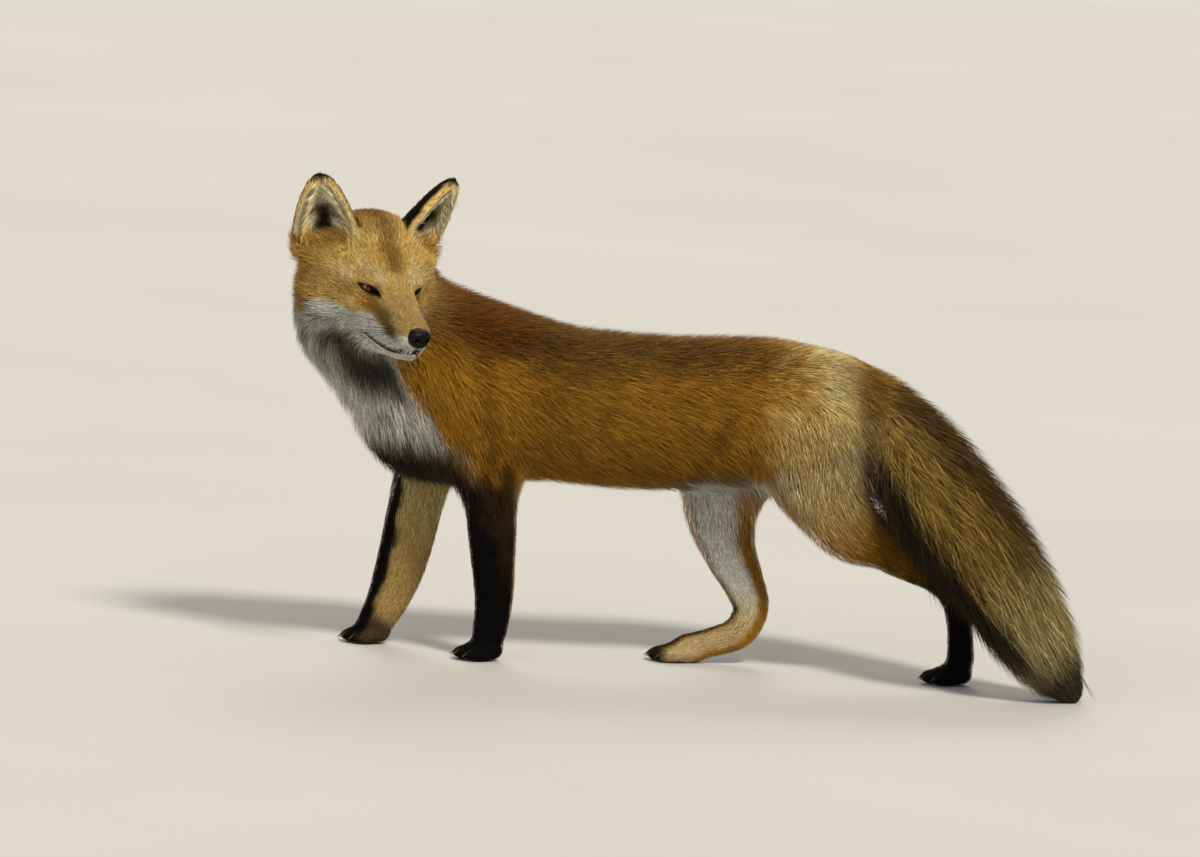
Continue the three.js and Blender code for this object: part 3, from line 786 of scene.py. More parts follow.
def noise(p, size, seed):
    """Smooth noise from -1 to 1 with lumps of about `size` mm."""
    q = p / size + seed * 17.3
    base = np.floor(q)
    f = q - base
    f = f * f * (3 - 2 * f)
    total = 0
    for offset, weight in cell_corners(f):
        spin = np.sin((base + offset) @ (12.9898, 78.233, 37.719) + seed) * 43758.5453
        total = total + weight * (spin - np.floor(spin))
    return 2 * total - 1


def srgb(r, g, b):
    """A colour given as it shows on a screen, from 0 to 255, in linear light."""
    c = np.array((r, g, b)) / 255
    return np.where(c <= 0.04045, c / 12.92, ((c + 0.055) / 1.055) ** 2.4)


RUST = srgb(161, 114, 35)
GOLD = srgb(180, 128, 38)
PALE_GOLD = srgb(240, 216, 148)
DARK_RUST = srgb(104, 62, 16)
BACK = srgb(112, 80, 32)
BROWN = srgb(66, 45, 18)
CREAM = srgb(222, 210, 168)
WHITE = srgb(236, 232, 216)
GREY = srgb(116, 112, 98)
SMOKE = srgb(42, 38, 31)
BLACK = srgb(9, 7, 5)
TAN = srgb(190, 158, 94)
FACE = srgb(208, 172, 96)
TAWNY = srgb(158, 126, 60)


def mix(a, b, t):
    """Colour a turning into colour b as t goes from 0 to 1."""
    t = np.clip(t, 0, 1)[:, None]
    return a * (1 - t) + b * t


def band(x, at, start, end):
    """1 at a place along x, and 0 from `end` to either side of it."""
    return 1 - ramp(np.abs(x - at), start, end)


def blob(h, at, half):
    """1 at a place and 0 outside an ellipsoid round it."""
    return 1 - ramp(np.linalg.norm((h - np.array(at)) / np.array(half), axis=1), 0.25, 1)


def body_colours(p):
    x, y, z = p.T
    _, back, belly, _ = trunk_section(x)
    up = (z - belly) / (back - belly)
    wave = 0.08 * noise(p, 40, 3) + 0.05 * noise(p, 14, 4)
    c = mix(RUST, GOLD, ramp(-x, 165, 200) * ramp(-up, -0.85, -0.5))
    c = mix(c, GOLD, ramp(x, 20, 120))
    c = mix(c, PALE_GOLD, 0.65 * ramp(x, 60, 120) * ramp(noise(p, 9, 12), -0.3, 0.6) * ramp(z, 180, 230))
    # Golden over the shoulder and brighter still at its front: partly the coat's gold and partly a painted
    # highlight.
    c = mix(c, GOLD, 0.8 * band(x, -180, 4, 26) * ramp(z, 200, 260))
    c = mix(c, GOLD * 1.2, 0.6 * ramp(-x, 212, 236) * ramp(z, 215, 250))
    # A darker band behind the shoulder: partly the coat's rust band and partly painted shade in the crease
    # there.
    behind_shoulder = band(x, -207 - 0.12 * (z - 260), 3, 17)
    c = mix(c, DARK_RUST, 0.8 * behind_shoulder * (1 - ramp(z, 318, 336)))
    # Painted shade in the crease before the thigh.
    thigh_crease_shade = band(x, 48 + 0.4 * (z - 265), 2, 12)
    c = mix(c, DARK_RUST, 0.5 * thigh_crease_shade * ramp(-z, -300, -250))
    # A pale band down the rump: partly the coat's paler hip and partly a painted highlight.
    rump = band(x, 150 - 0.15 * (z - 290), 8, 36)
    c = mix(c, PALE_GOLD, 0.95 * rump * ramp(z, 150, 225))
    c = mix(c, BACK, ramp(up + wave, 0.62, 0.93) * (1 - 0.85 * ramp(x + 60 * wave, 40, 150)))
    c = mix(c, DARK_RUST, ramp(up + wave, 0.7, 0.92) * ramp(-x, 120, 200))
    under = -(up + wave) - 0.1 * (1 - ramp(x, -60, 10))
    # Greyer along the belly's edge: partly grey fur and partly painted shade under the trunk.
    c = mix(c, GREY, ramp(under, -0.12, -0.02) * ramp(x, -190, -150))
    c = mix(c, WHITE, ramp(under, -0.06, 0.04) * ramp(x, -190, -120))
    return with_bib(c, p)


def with_bib(c, p):
    """Adds the white and grey bib of the throat and chest, which starts at a slanting plane, with painted
    shade under the jaw and between the forelegs.
    """
    front = -0.77 * p[:, 0] - 0.63 * p[:, 2] - 56 + 7 * noise(p, 26, 5)
    inside = ramp(front, -5, 7)
    c = mix(c, WHITE, inside)
    c = mix(c, SMOKE, 0.75 * inside * ramp(noise(p, 13, 6), 0.05, 0.5))
    # Greyer towards the top of the bib: painted shade under the jaw.
    c = mix(c, GREY * 0.6, 0.45 * inside * ramp(p[:, 2], 240, 290))
    # Painted shadow under the jaw, across the top of the bib.
    shade = ramp(front, 0, 8) * (1 - ramp(front, 34, 54)) * ramp(p[:, 2], 238, 266)
    c = mix(c, SMOKE * 0.6, 0.95 * shade)
    # Darker low on the chest between the forelegs: partly grey fur and partly painted shade.
    return mix(c, SMOKE, inside * (1 - ramp(p[:, 2], 186, 212)) * (1 - 0.7 * ramp(p[:, 1], 22, 42)))


def neck_colours(p):
    x, z = p[:, 0], p[:, 2]
    c = mix(GOLD, DARK_RUST, ramp(z - 0.35 * (-x - 240), 300, 335))
    return with_bib(c, p)


# Where the white of the cheeks and lips begins, seen from the side: x and z in the head's frame.
WHITE_LINE = [
    (-90, -78), (-62, -56), (-44, -34), (-27, -24), (-8, -27),
    (10, -22), (20, -27), (34, -35), (50, -28), (72, -20),
]


def head_colours(h):
    x, z = h[:, 0], h[:, 2]
    y = np.abs(h[:, 1])
    folded = to_left(h)
    wave = 2.5 * noise(h, 9, 7)
    c = mix(FACE, TAN, ramp(x, -4, 40))
    c = mix(c, GOLD, 0.7 * ramp(-x, 30, 75))
    stripe = (1 - ramp(y + 2 * wave - 0.12 * z, -3, 12)) * ramp(-x, -10, 6) * ramp(z, 8, 22)
    c = mix(c, GOLD * 0.8, 0.6 * blob(folded, (-22, 0, 26), (34, 24, 26)))
    c = mix(c, CREAM, 0.3 * blob(folded, (-14, 30, 22), (22, 10, 20)))
    c = mix(c, DARK_RUST, 0.6 * stripe)
    c = mix(c, BROWN, 0.4 * ramp(-x, 50, 90) * ramp(z, 30, 52))
    c = mix(c, CREAM, 0.55 * blob(folded, (0, 19, 14), (18, 12, 11)))
    c = mix(c, CREAM, 0.5 * blob(folded, (-30, 42, 8), (22, 20, 16)))
    pouch = blob(folded, (4, 27, -12), (22, 18, 12))
    c = mix(c, 0.65 * RUST + 0.35 * DARK_RUST, 0.85 * pouch)
    c = mix(c, TAN, 0.6 * pouch * ramp(noise(h, 2.5, 13), 0.1, 0.6))
    c = mix(c, DARK_RUST, 0.6 * blob(folded, (-16, 38, -9), (16, 12, 8)))
    c = mix(c, DARK_RUST, 0.35 * blob(folded, (-20, 45, -6), (22, 18, 13)))
    edge = np.interp(x, *np.array(WHITE_LINE).T)
    c = mix(c, WHITE, ramp(edge + wave - z, -3, 4) * (1 - ramp(h[:, 1] - 0.2 * x, 46, 60)))
    c = mix(c, BROWN, 0.6 * blob(folded, (26, 19, -15), (24, 14, 12)))
    c = mix(c, SMOKE * 1.2, (0.7 + 0.2 * noise(h, 5, 16)) * blob(folded, (43, 16, -26), (24, 16, 13)))
    c = mix(c, SMOKE, 0.75 * blob(folded, (-50, 50, -50), (40, 32, 11)))
    c = mix(c, SMOKE, 0.35 * ramp(-x, 25, 60) * ramp(-z, 24, 42))
    # Painted shadow under the jaw, dark across the throat.
    c = mix(c, SMOKE * 0.6, 0.95 * ramp(-x, 8, 30) * ramp(-z, 56, 72) * (1 - ramp(y, 34, 50)))
    lip = LIPS.near(folded)[0]
    c = mix(c, BLACK, 1 - ramp(lip, 0.8, 2.2))
    c = mix(c, BLACK, 1 - ramp(ellipsoid(folded, NOSE["at"], NOSE["half"]), 0.3, 1.6))
    c = mix(c, SMOKE * 0.5, 0.9 * blob(folded, (77, 0, -33), (8, 7, 6)))
    for side in (1, -1):
        a, b, _ = eye_place(h, side)
        near = ramp(side * h[:, 1], 0, 4)
        c = mix(c, BLACK, near * (1 - ramp(almond(a, b), 0.9, 2.6)) * ramp(x, -24, -18))
    tear = Limb([(9, 17, -1, 1.5), (15, 16.5, -5, 1.2), (22, 17, -10, 0.6)]).near(folded)[0]
    return mix(c, BLACK, 0.85 * (1 - ramp(tear, 0, 2.2)))


def tail_colours(s):
    along = s.tail_along
    above = s.above_tail() + 0.1 * noise(s.p, 18, 15)
    c = mix(TAWNY, BROWN * 1.25, 0.9 * ramp(above, 0.35, 0.9) * (1 - ramp(along, 0.6, 0.8)))
    c = mix(c, PALE_GOLD, 0.85 * ramp(along, 0.5, 0.72))
    c = mix(c, GOLD, 0.7 * (1 - ramp(along, 0.05, 0.22)))
    # Dark under the root half of the tail: partly its dark underside and partly painted shade.
    below = ramp(-above, 0.3, 0.62) * ramp(along, 0.02, 0.12) * (1 - ramp(along, 0.72, 0.9))
    c = mix(c, SMOKE * 0.5, 0.95 * below)
    return mix(c, SMOKE * 1.2, 0.9 * ramp(along + 0.03 * noise(s.p, 12, 14), 0.78, 0.89))


def leg_colours(s, name):
    along = s.legs_along[name]
    out = unit((s.p - LEG_LIMBS[name].centre(along)) * (1, 1, 0.3))
    outer = out[:, 1] * (-1 if "left" in name else 1)
    front = -out[:, 0]
    wave = 0.15 * noise(s.p, 12, 8)
    if name.startswith("fore"):
        c = mix(GOLD, TAN, ramp(-outer, -0.2, 0.6) * ramp(along, 0.15, 0.4))
        # Painted light: paler at the top of the inner side, where the chest shades it.
        c = mix(c, PALE_GOLD, 0.7 * ramp(-outer, 0, 0.6) * (1 - ramp(along, 0.3, 0.6)))
        dark = ramp(outer + 0.5 * front + wave, -0.45, 0.05)
        dark = np.maximum(dark, ramp(front + wave, 0.5, 0.9) * ramp(along, 0.35, 0.6))
        c = mix(c, BROWN, dark * ramp(along + wave, 0.12, 0.32))
        c = mix(c, BLACK, ramp(dark, 0.3, 0.9) * ramp(along + wave + 0.2 * front, 0.18, 0.62))
        return mix(c, BLACK, 0.85 * ramp(along, 0.85, 1.0))
    c = mix(GOLD, RUST, ramp(along, 0.2, 0.45) * (1 - ramp(along, 0.55, 0.7)))
    # Paler at the outer top of the hind leg, going on from the rump: partly the coat's pale hip and partly a
    # painted highlight.
    c = mix(c, PALE_GOLD, 0.6 * ramp(outer, 0.2, 0.7) * (1 - ramp(along, 0.12, 0.34)))
    pale = ramp(-outer + 0.45 * front + wave, 0.45, 0.95) * ramp(along, 0.05, 0.2)
    c = mix(c, mix(WHITE, CREAM, ramp(along, 0.5, 0.65)), pale * (1 - 0.5 * ramp(along, 0.6, 0.75)))
    dark = ramp(outer + 0.35 * front + wave, 0.0, 0.5) * ramp(along + wave, 0.4, 0.75)
    line = ramp(front + 0.4 * outer + wave, 0.85, 1.0) * ramp(along, 0.55, 0.7)
    dark = np.maximum(dark, 0.8 * line)
    return mix(c, BLACK, dark)


def ear_colours(s, side, inner):
    u, t, w = ear_place(s.h, side)
    edge = np.abs(u) / (EAR["half_width"] * np.sqrt(np.clip(1 - t, 0.04, 1)))
    wave = noise(s.p, 7, 9)
    back = mix(FACE, BLACK, ramp(1.5 * wave - w, -4, 2) * ramp(t + 0.05 * wave, 0.02, 0.2))
    back = mix(back, CREAM, 0.5 * ramp(w, 4, 12))
    back = mix(back, BLACK, ramp(t, 0.9, 0.97))
    middle = (1 - ramp(edge + 0.12 * wave, 0.12, 0.44)) * (1 - ramp(t, 0.42, 0.68))
    cup = mix(CREAM * 1.4, SMOKE * 0.4, middle)
    cup = mix(cup, FACE, 0.45 * ramp(edge, 0.85, 0.97))
    return np.where(inner[:, None], cup, back)


def markings(s):
    """The colour of the coat at each surveyed point."""
    colours = {
        "body": body_colours(s.p),
        "neck": neck_colours(s.p),
        "head": head_colours(s.h),
        "tail": tail_colours(s),
    }
    for name in LEGS:
        colours[name] = leg_colours(s, name)
        axes, at, reach = paw_frame(name)
        toes = ramp(((s.p - at) @ axes)[:, 0], reach - 22, reach - 6)
        colours[f"{name}_paw"] = mix(colours[name], BLACK, toes)
    c = s.mixed(colours)
    for side, share, inner in s.ears():
        c = mix(c, ear_colours(s, side, inner), share)
    return c


def paint(mesh, colours):
    """Gives each vertex of a mesh its colour, which the painted materials read."""
    layer = mesh.color_attributes.new("markings", "FLOAT_COLOR", "POINT")
    layer.data.foreach_set("color", np.hstack([colours, np.ones((len(colours), 1))]).ravel())


# ---------------------------------------------------------------- materials
def material(name, roughness, specular=0.5, coat=0.0):
    """A Principled material, and its nodes to build on."""
    mat = bpy.data.materials.new(name)
    mat.use_nodes = True
    tree = mat.node_tree
    shader = tree.nodes["Principled BSDF"]
    shader.inputs["Roughness"].default_value = roughness
    shader.inputs["Specular IOR Level"].default_value = specular
    shader.inputs["Coat Weight"].default_value = coat
    shader.inputs["Coat Roughness"].default_value = 0.04
    return mat, tree, shader


def add_node(tree, kind, inputs=(), **settings):
    node = tree.nodes.new(kind)
    for key, value in settings.items():
        setattr(node, key, value)
    for key, value in dict(inputs).items():
        if isinstance(value, bpy.types.NodeSocket):
            tree.links.new(value, node.inputs[key])
        else:
            node.inputs[key].default_value = value
    return node


def painted(name, roughness, specular, grain, depth, contrast, coat=0.0):
    """A surface in its painted colours, with a fine grain in its colour and its bump."""
    mat, tree, shader = material(name, roughness, specular, coat)
    colour = add_node(tree, "ShaderNodeAttribute", attribute_name="markings")
    place = add_node(tree, "ShaderNodeTexCoord").outputs["Object"]
    speckle = add_node(tree, "ShaderNodeTexNoise", {"Vector": place, "Scale": grain, "Detail": 3.0})
    shade = add_node(tree, "ShaderNodeMapRange", {
        "Value": speckle.outputs["Fac"], "From Min": 0.3, "From Max": 0.7,
        "To Min": 1 - contrast, "To Max": 1 + contrast,
    })
    tinted = add_node(tree, "ShaderNodeVectorMath", {
        0: colour.outputs["Color"], "Scale": shade.outputs["Result"],
    }, operation="SCALE")
    tree.links.new(tinted.outputs["Vector"], shader.inputs["Base Color"])
    bump = add_node(tree, "ShaderNodeBump", {
        "Height": speckle.outputs["Fac"], "Strength": 0.5, "Distance": depth,
    })
    tree.links.new(bump.outputs["Normal"], shader.inputs["Normal"])
    return mat


FUR = painted("fur", 0.62, 0.1, 260, 0.0004, 0.15)
HIDE = painted("hide", 0.8, 0.08, 700, 0.0012, 0.4)
EYEBALL = painted("eyeball", 0.25, 0.5, 2600, 0.00005, 0.3, coat=1.0)
LEATHER = painted("nose_leather", 0.34, 0.1, 1500, 0.0006, 0.2)


def horn_material():
    mat, tree, shader = material("claw_horn", 0.4, 0.5)
    place = add_node(tree, "ShaderNodeTexCoord").outputs["Object"]
    streaks = add_node(tree, "ShaderNodeTexNoise", {"Vector": place, "Scale": 900.0, "Detail": 2.0})
    ramp_node = add_node(tree, "ShaderNodeValToRGB", {"Fac": streaks.outputs["Fac"]})
    ramp_node.color_ramp.elements[0].color = (*srgb(22, 18, 15), 1)
    ramp_node.color_ramp.elements[1].color = (*srgb(66, 56, 46), 1)
    tree.links.new(ramp_node.outputs["Color"], shader.inputs["Base Color"])
    bump = add_node(tree, "ShaderNodeBump", {"Height": streaks.outputs["Fac"], "Distance": 0.0002})
    tree.links.new(bump.outputs["Normal"], shader.inputs["Normal"])
    return mat


def finish_piece(mesh, mat, slot, *nodes):
    """Makes a mesh one of the fox's pieces, in place of the nodes given."""
    mesh.update()
    mesh.shade_smooth()
    mesh.materials.append(mat)
    ob = new_object(mesh.name, mesh)
    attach(ob, "root")
    if nodes:
        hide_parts(*nodes)


# ---------------------------------------------------------------- the coat
class Lookup:
    """Values worked out once on a grid, and read between its points."""

    def __init__(self, low, high, step, function):
        points, self.n = lattice(low, high, step)
        self.low, self.step = low, step
        self.values = function(points).reshape(*self.n, -1)

    def __call__(self, p):
        q = np.clip((p - self.low) / self.step, 0, self.n - 1.001)
        base = q.astype(int)
        f = q - base
        total = 0
        for offset, weight in cell_corners(f):
            total = total + weight[:, None] * self.values[tuple((base + offset).T)]
        return total


def lie_of_land(p):
    """For a Lookup: the distance to the skin, the coat's depth and its lie."""
    s = Survey(p)
    depth, lie, _ = s.fur()
    return np.hstack([s.skin()[:, None], depth[:, None], lie])


class Land:
    """The skin's shape and the coat's lie, read from a fine grid at the head and a coarser one elsewhere."""

    BODY_STEP, HEAD_STEP = 5.0, 2.5
    BELOW_EYES, ABOVE_EYES = (78, 92, 92), (92, 72, 62)  # the fine grid's reach
    SLOPE_STEP = 1.5
    RAISE = 14  # the farthest move at once

    def __init__(self):
        self.body = Lookup(LOW, HIGH, self.BODY_STEP, lie_of_land)
        eyes = np.array(HEAD["eyes"], float)
        self.low, self.high = eyes - self.BELOW_EYES, eyes + self.ABOVE_EYES
        self.head = Lookup(self.low, self.high, self.HEAD_STEP, lie_of_land)

    def read(self, p):
        values = self.body(p)
        near = np.all((p > self.low) & (p < self.high), axis=1)
        values[near] = self.head(p[near])
        return values

    def height(self, p):
        return self.read(p)[:, 0]

    def slope(self, p):
        steps = self.SLOPE_STEP * np.eye(3)
        return np.stack([self.height(p + e) - self.height(p - e) for e in steps], 1) / (2 * self.SLOPE_STEP)

    def raised(self, p, share):
        """Points moved to a share of the coat's depth above the skin."""
        for _ in range(2):
            values = self.read(p)
            slope = self.slope(p)
            size = np.maximum(np.linalg.norm(slope, axis=1), 0.4)
            move = (share * values[:, 1] - values[:, 0]) / size
            p = p + unit(slope) * np.clip(move, -self.RAISE, self.RAISE)[:, None]
        return p


def corners_of(mesh):
    """Vertices of a mesh, their normals, and its triangles."""
    points = np.empty(len(mesh.vertices) * 3)
    mesh.vertices.foreach_get("co", points)
    normals = np.empty(len(mesh.vertices) * 3)
    mesh.vertices.foreach_get("normal", normals)
    mesh.calc_loop_triangles()
    triangles = np.empty(len(mesh.loop_triangles) * 3, int)
    mesh.loop_triangles.foreach_get("vertices", triangles)
    return points.reshape(-1, 3), normals.reshape(-1, 3), triangles.reshape(-1, 3)


def scatter(mesh, density, rng):
    """Random places on a mesh, so many to the square millimetre as density says at each vertex."""
    points, normals, triangles = corners_of(mesh)
    a, b, c = (points[triangles[:, k]] for k in range(3))
    area = np.linalg.norm(np.cross(b - a, c - a), axis=1) / 2
    expected = area * density[triangles].mean(1)
    counts = np.floor(expected + rng.random(len(area))).astype(int)
    chosen = triangles[np.repeat(np.arange(len(area)), counts)]
    u, v = rng.random((2, len(chosen)))
    over = u + v > 1
    u[over], v[over] = 1 - u[over], 1 - v[over]
    share = np.stack([1 - u - v, u, v], 1)[:, :, None]
    return (points[chosen] * share).sum(1), unit((normals[chosen] * share).sum(1))


def tuft_width(length):
    return 0.33 + 0.011 * length


RING_AT = 0.36  # where a tuft's ring of three vertices lies along it
TUFT_FACES = np.array(
    [(0, 1 + (k + 1) % 3, 1 + k) for k in range(3)] + [(1 + k, 1 + (k + 1) % 3, 4) for k in range(3)]
)
TUFT_CORNERS = 5  # the root, the ring and the tip
PATCH = 0.003  # size of a tuft's patch on its piece's map
TUFT_PATCH = np.array([(0, -0.5), (-0.5, -0.15), (0.5, -0.15), (0, -0.01), (0, 0.5)]) * PATCH
LOWEST_TIP = 0.6  # mm that the fur keeps above the ground
TUFT_LENGTHS = (0.72, 1.12)  # the shortest and longest, as shares of the fur's length there
TUFT_LIFTS = (0.45, 1.05)  # the lowest and highest tips, as shares of the fur's height there
SWAY, DRIFT = 0.17, 0.14  # how far tufts turn aside, one by one and together, in radians
# Tufts darken at the root and ring, partly for the darker underfur and partly as painted shade deep in the
# coat.
ROOT_SHADE, RING_SHADE, TIP_SHADE = 0.3, 0.78, 1.15
DARK_TIP, PALE_TIP = 0.22, 1.9


class Tufts:
    """Tufts that grow from roots on the skin and follow the lie of the coat."""

    def __init__(self, roots, normals, land, rng):
        self.roots, self.survey = roots, Survey(roots)
        _, lie, length = self.survey.fur()
        n = len(roots)
        self.length = length * rng.uniform(*TUFT_LENGTHS, n)
        self.width = tuft_width(length)
        lift = rng.uniform(*TUFT_LIFTS, n) ** 0.8
        sway = SWAY * rng.standard_normal(n) + DRIFT * noise(roots, 16, 11)
        points = [roots - 0.3 * normals]
        here, normal, way = roots, normals, lie
        done = 0
        for knot in (RING_AT, 1):
            way = unit(way - normal * np.sum(way * normal, 1)[:, None])
            way = way * np.cos(sway)[:, None] + np.cross(normal, way) * np.sin(sway)[:, None]
            here = here + way * (self.length * (knot - done))[:, None]
            here = land.raised(here, lift * (1 - (1 - knot) ** 2.2))
            here[:, 2] = np.maximum(here[:, 2], LOWEST_TIP)
            normal, way = unit(land.slope(here)), land.read(here)[:, 2:5]
            points.append(here)
            done = knot
        self.points, self.normal = points, normal

    def vertices(self):
        """The vertices of each tuft."""
        axis = unit(self.points[-1] - self.points[0])
        side = unit(np.cross(axis, self.normal))
        top = np.cross(side, axis)
        root, centre, tip = self.points
        half = (self.width * 0.5)[:, None]
        low = centre - top * half * 0.3
        corners = [root, low - side * half, low + side * half, centre + top * half * 0.7, tip]
        return np.stack(corners, 1)

    def colours(self, rng):
        """Dark at the root, partly as painted shade deep in the coat, and full at the tip, each tuft a little
        unlike the next.
        """
        full = markings(Survey(self.points[-1]))
        n = len(full)
        shade = np.exp(0.25 * rng.standard_normal(n) + 0.16 * noise(self.roots, 7, 21))
        full = full * shade[:, None]
        s = self.survey
        _, back, belly, _ = trunk_section(s.p[:, 0])
        high = ramp((s.p[:, 2] - belly) / (back - belly), 0.55, 0.85)
        in_cup = sum(share * inner for _, share, inner in s.ears())
        banded = 0.07 + 0.1 * in_cup + s.weights["body"] * (0.1 + 0.42 * high) + s.weights["tail"] * 0.42
        dark = rng.random(n) < banded
        pale = (rng.random(n) < 0.5 * banded) & ~dark
        tip = np.where(pale[:, None], full * PALE_TIP + 0.02, full * TIP_SHADE)
        tip = np.where(dark[:, None], full * DARK_TIP, tip)
        return np.clip(np.stack([full * ROOT_SHADE, *[full * RING_SHADE] * 3, tip], 1), 0, 1)


def spread(values):
    """Values scaled to fill a map from edge to edge."""
    low, high = values.min(), values.max()
    return PATCH + (values - low) / max(high - low, 1e-6) * (1 - 2 * PATCH)


def unwrapped(p, limb):
    """Places on an unwrap round a limb: along it and round it."""
    _, along = limb.near(p)
    heading = limb.heading(along)
    out = p - limb.centre(along)
    side = unit(np.cross(heading, (0.3, 0.1, 1.0)))
    up = np.cross(side, heading)
    angle = np.arctan2(np.sum(out * side, 1), np.sum(out * up, 1))
    return along, angle / (2 * math.pi) + 0.5


def coat_piece(name, tufts, picked, colours, strips):
    """One piece of the coat from the picked tufts. Strips says which limb unwraps which of them."""
    count = picked.sum()
    vertices = tufts.vertices()[picked].reshape(-1, 3)
    faces = (TUFT_FACES + TUFT_CORNERS * np.arange(count)[:, None, None]).reshape(-1, 3)
    mesh = bpy.data.meshes.new(name)
    mesh.vertices.add(len(vertices))
    mesh.vertices.foreach_set("co", to_room(vertices).ravel())
    mesh.loops.add(faces.size)
    mesh.loops.foreach_set("vertex_index", faces.ravel())
    mesh.polygons.add(len(faces))
    mesh.polygons.foreach_set("loop_start", np.arange(0, faces.size, 3))
    mesh.polygons.foreach_set("loop_total", np.full(len(faces), 3))
    mesh.update(calc_edges=True)
    paint(mesh, colours[picked].reshape(-1, 3))
    uv = np.zeros((count, 2))
    roots = tufts.roots[picked]
    for number, (limb, mine) in enumerate(strips):
        mine = mine[picked]
        if mine.any():
            along, around = unwrapped(roots[mine], limb)
            uv[mine] = np.stack([spread(along), (number + spread(around)) / len(strips)], 1)
    places = (uv[:, None] + TUFT_PATCH).reshape(-1, 2)
    layer = mesh.uv_layers.new(name="OFBake")
    layer.data.foreach_set("uv", places[faces.ravel()].ravel())
    finish_piece(mesh, FUR, "coat")


TRUNK_AXIS = Limb([(x, 0, (top + bottom) / 2, half) for x, top, bottom, half in TRUNK])
HEAD_AXIS = Limb([
    (*from_head(at), radius) for at, radius in (((90, 0, -26), 10), ((0, 0, -14), 40), ((-110, 0, 0), 60))
])
EAR_AXES = {
    side: Limb([(*from_head(EAR_ROOT * (1, side, 1)), 10), (*from_head(EAR_TIP * (1, side, 1)), 2)])
    for side in (1, -1)
}
COVER = {"body": 4.7, "neck": 4.6, "head": 1.6, "tail": 33.0}  # layers of tufts over the skin
LEG_COVER = 0.75
EAR_COVER = 0.6
BODY_CUTS = (-400, -160, -10, 400)  # x between the pieces of the body's coat
TAIL_CUT = 0.42  # place along the tail between the two pieces of its coat


def fur_density(s):
    """Tufts to the square millimetre of skin."""
    _, _, length = s.fur()
    cover = s.mixed({**COVER, **dict.fromkeys(s.weights.keys() - COVER.keys(), LEG_COVER)})
    for _, share, inner in s.ears():
        cover = cover * (1 - share) + EAR_COVER * (1 + 1.5 * inner) * share
    density = cover / (0.5 * length * tuft_width(length))
    folded = to_left(s.h)
    bare = np.linalg.norm(folded - eye_centre(1), axis=1) < EYE["radius"] + 1.0
    bare |= ellipsoid(folded, NOSE["at"], NOSE["half"]) < 0.6
    bare |= LIPS.near(folded)[0] < 1.5 + 0.7 * ramp(s.h[:, 0], 66, 74)
    bare |= np.linalg.norm(folded - np.array(LIP_FRONT), axis=1) < 6
    bare |= s.p[:, 2] < 3
    return np.where(bare, 0, density)


COAT_SEED = 7


def grow_coat(mesh):
    """All the pieces of the coat, on a skin whose vertices are in the design's millimetres."""
    rng = np.random.default_rng(COAT_SEED)
    points, _, _ = corners_of(mesh)
    land = Land()
    roots, normals = scatter(mesh, fur_density(Survey(points)), rng)
    tufts = Tufts(roots, normals, land, rng)
    share_out(tufts, tufts.colours(rng))


def share_out(tufts, colours):
    """Parts the tufts into pieces by the part of the body that they grow on."""
    s = tufts.survey
    names = list(s.weights)
    nearest = np.array(names)[np.argmax(np.stack(list(s.weights.values())), 0)]
    x, y, _ = s.p.T
    anywhere = np.ones(len(x), bool)
    shares = [share for _, share, _ in s.ears()]
    ear = np.maximum(*shares) > 0.5
    on_ear = {side: ear & (share > 0.5) for (side, share, _) in s.ears()}
    on_body = (nearest == "body") & ~ear
    on_neck = (nearest == "neck") & ~ear
    on_head = (nearest == "head") & ~ear
    pieces = {"ears": (ear, [(EAR_AXES[side], on_ear[side]) for side in (1, -1)])}
    for number, (start, end) in enumerate(zip(BODY_CUTS, BODY_CUTS[1:])):
        for side, here in (("left", y < 0), ("right", y >= 0)):
            piece = on_body & here & (x >= start) & (x < end)
            pieces[f"body_{side}_{number + 1}"] = (piece, [(TRUNK_AXIS, anywhere)])
    for side, here in (("left", y < 0), ("right", y >= 0)):
        pieces[f"neck_{side}"] = (on_neck & here, [(NECK_LIMB, anywhere)])
    for side, here in (("left", s.h[:, 1] > 0), ("right", s.h[:, 1] <= 0)):
        pieces[f"head_{side}"] = (on_head & here, [(HEAD_AXIS, anywhere)])
    stray = (TAIL_LIMB.near(tufts.points[-1])[0] > 3) & (s.tail_along > 0.8)
    on_tail = (nearest == "tail") & ~stray
    for number, here in enumerate((s.tail_along < TAIL_CUT, s.tail_along >= TAIL_CUT)):
        pieces[f"tail_{number + 1}"] = (on_tail & here, [(TAIL_LIMB, anywhere)])
    for name, limb in LEG_LIMBS.items():
        mine = (nearest == name) | (nearest == f"{name}_paw")
        pieces[name] = (mine, [(limb, anywhere)])
    for name, (picked, strips) in pieces.items():
        coat_piece(f"coat_{name}", tufts, picked, colours, strips)


def make_skin():
    """The skin, in the room's metres, and the coat that grows on it. The skin is painted like the coat but
    darker, partly as painted shade deep in the coat.
    """
    mesh = skin_mesh()
    points, _, _ = corners_of(mesh)
    survey = Survey(points)
    grow_coat(mesh)
    # Darker skin under a deeper coat: partly darker underfur and partly painted shade.
    close = ramp(survey.fur()[0], 1.6, 6)
    paint(mesh, markings(survey) * (0.8 - 0.35 * close)[:, None])
    mesh.vertices.foreach_set("co", to_room(points).ravel())
    flesh = ["head", "neck", "trunk", "tail", "tail_tip", "ear_left", "ear_right"]
    flesh += [f"{leg}_{part}" for leg in LEGS for part in ("upper", "lower", "paw")]
    finish_piece(mesh, HIDE, "coat", *flesh)


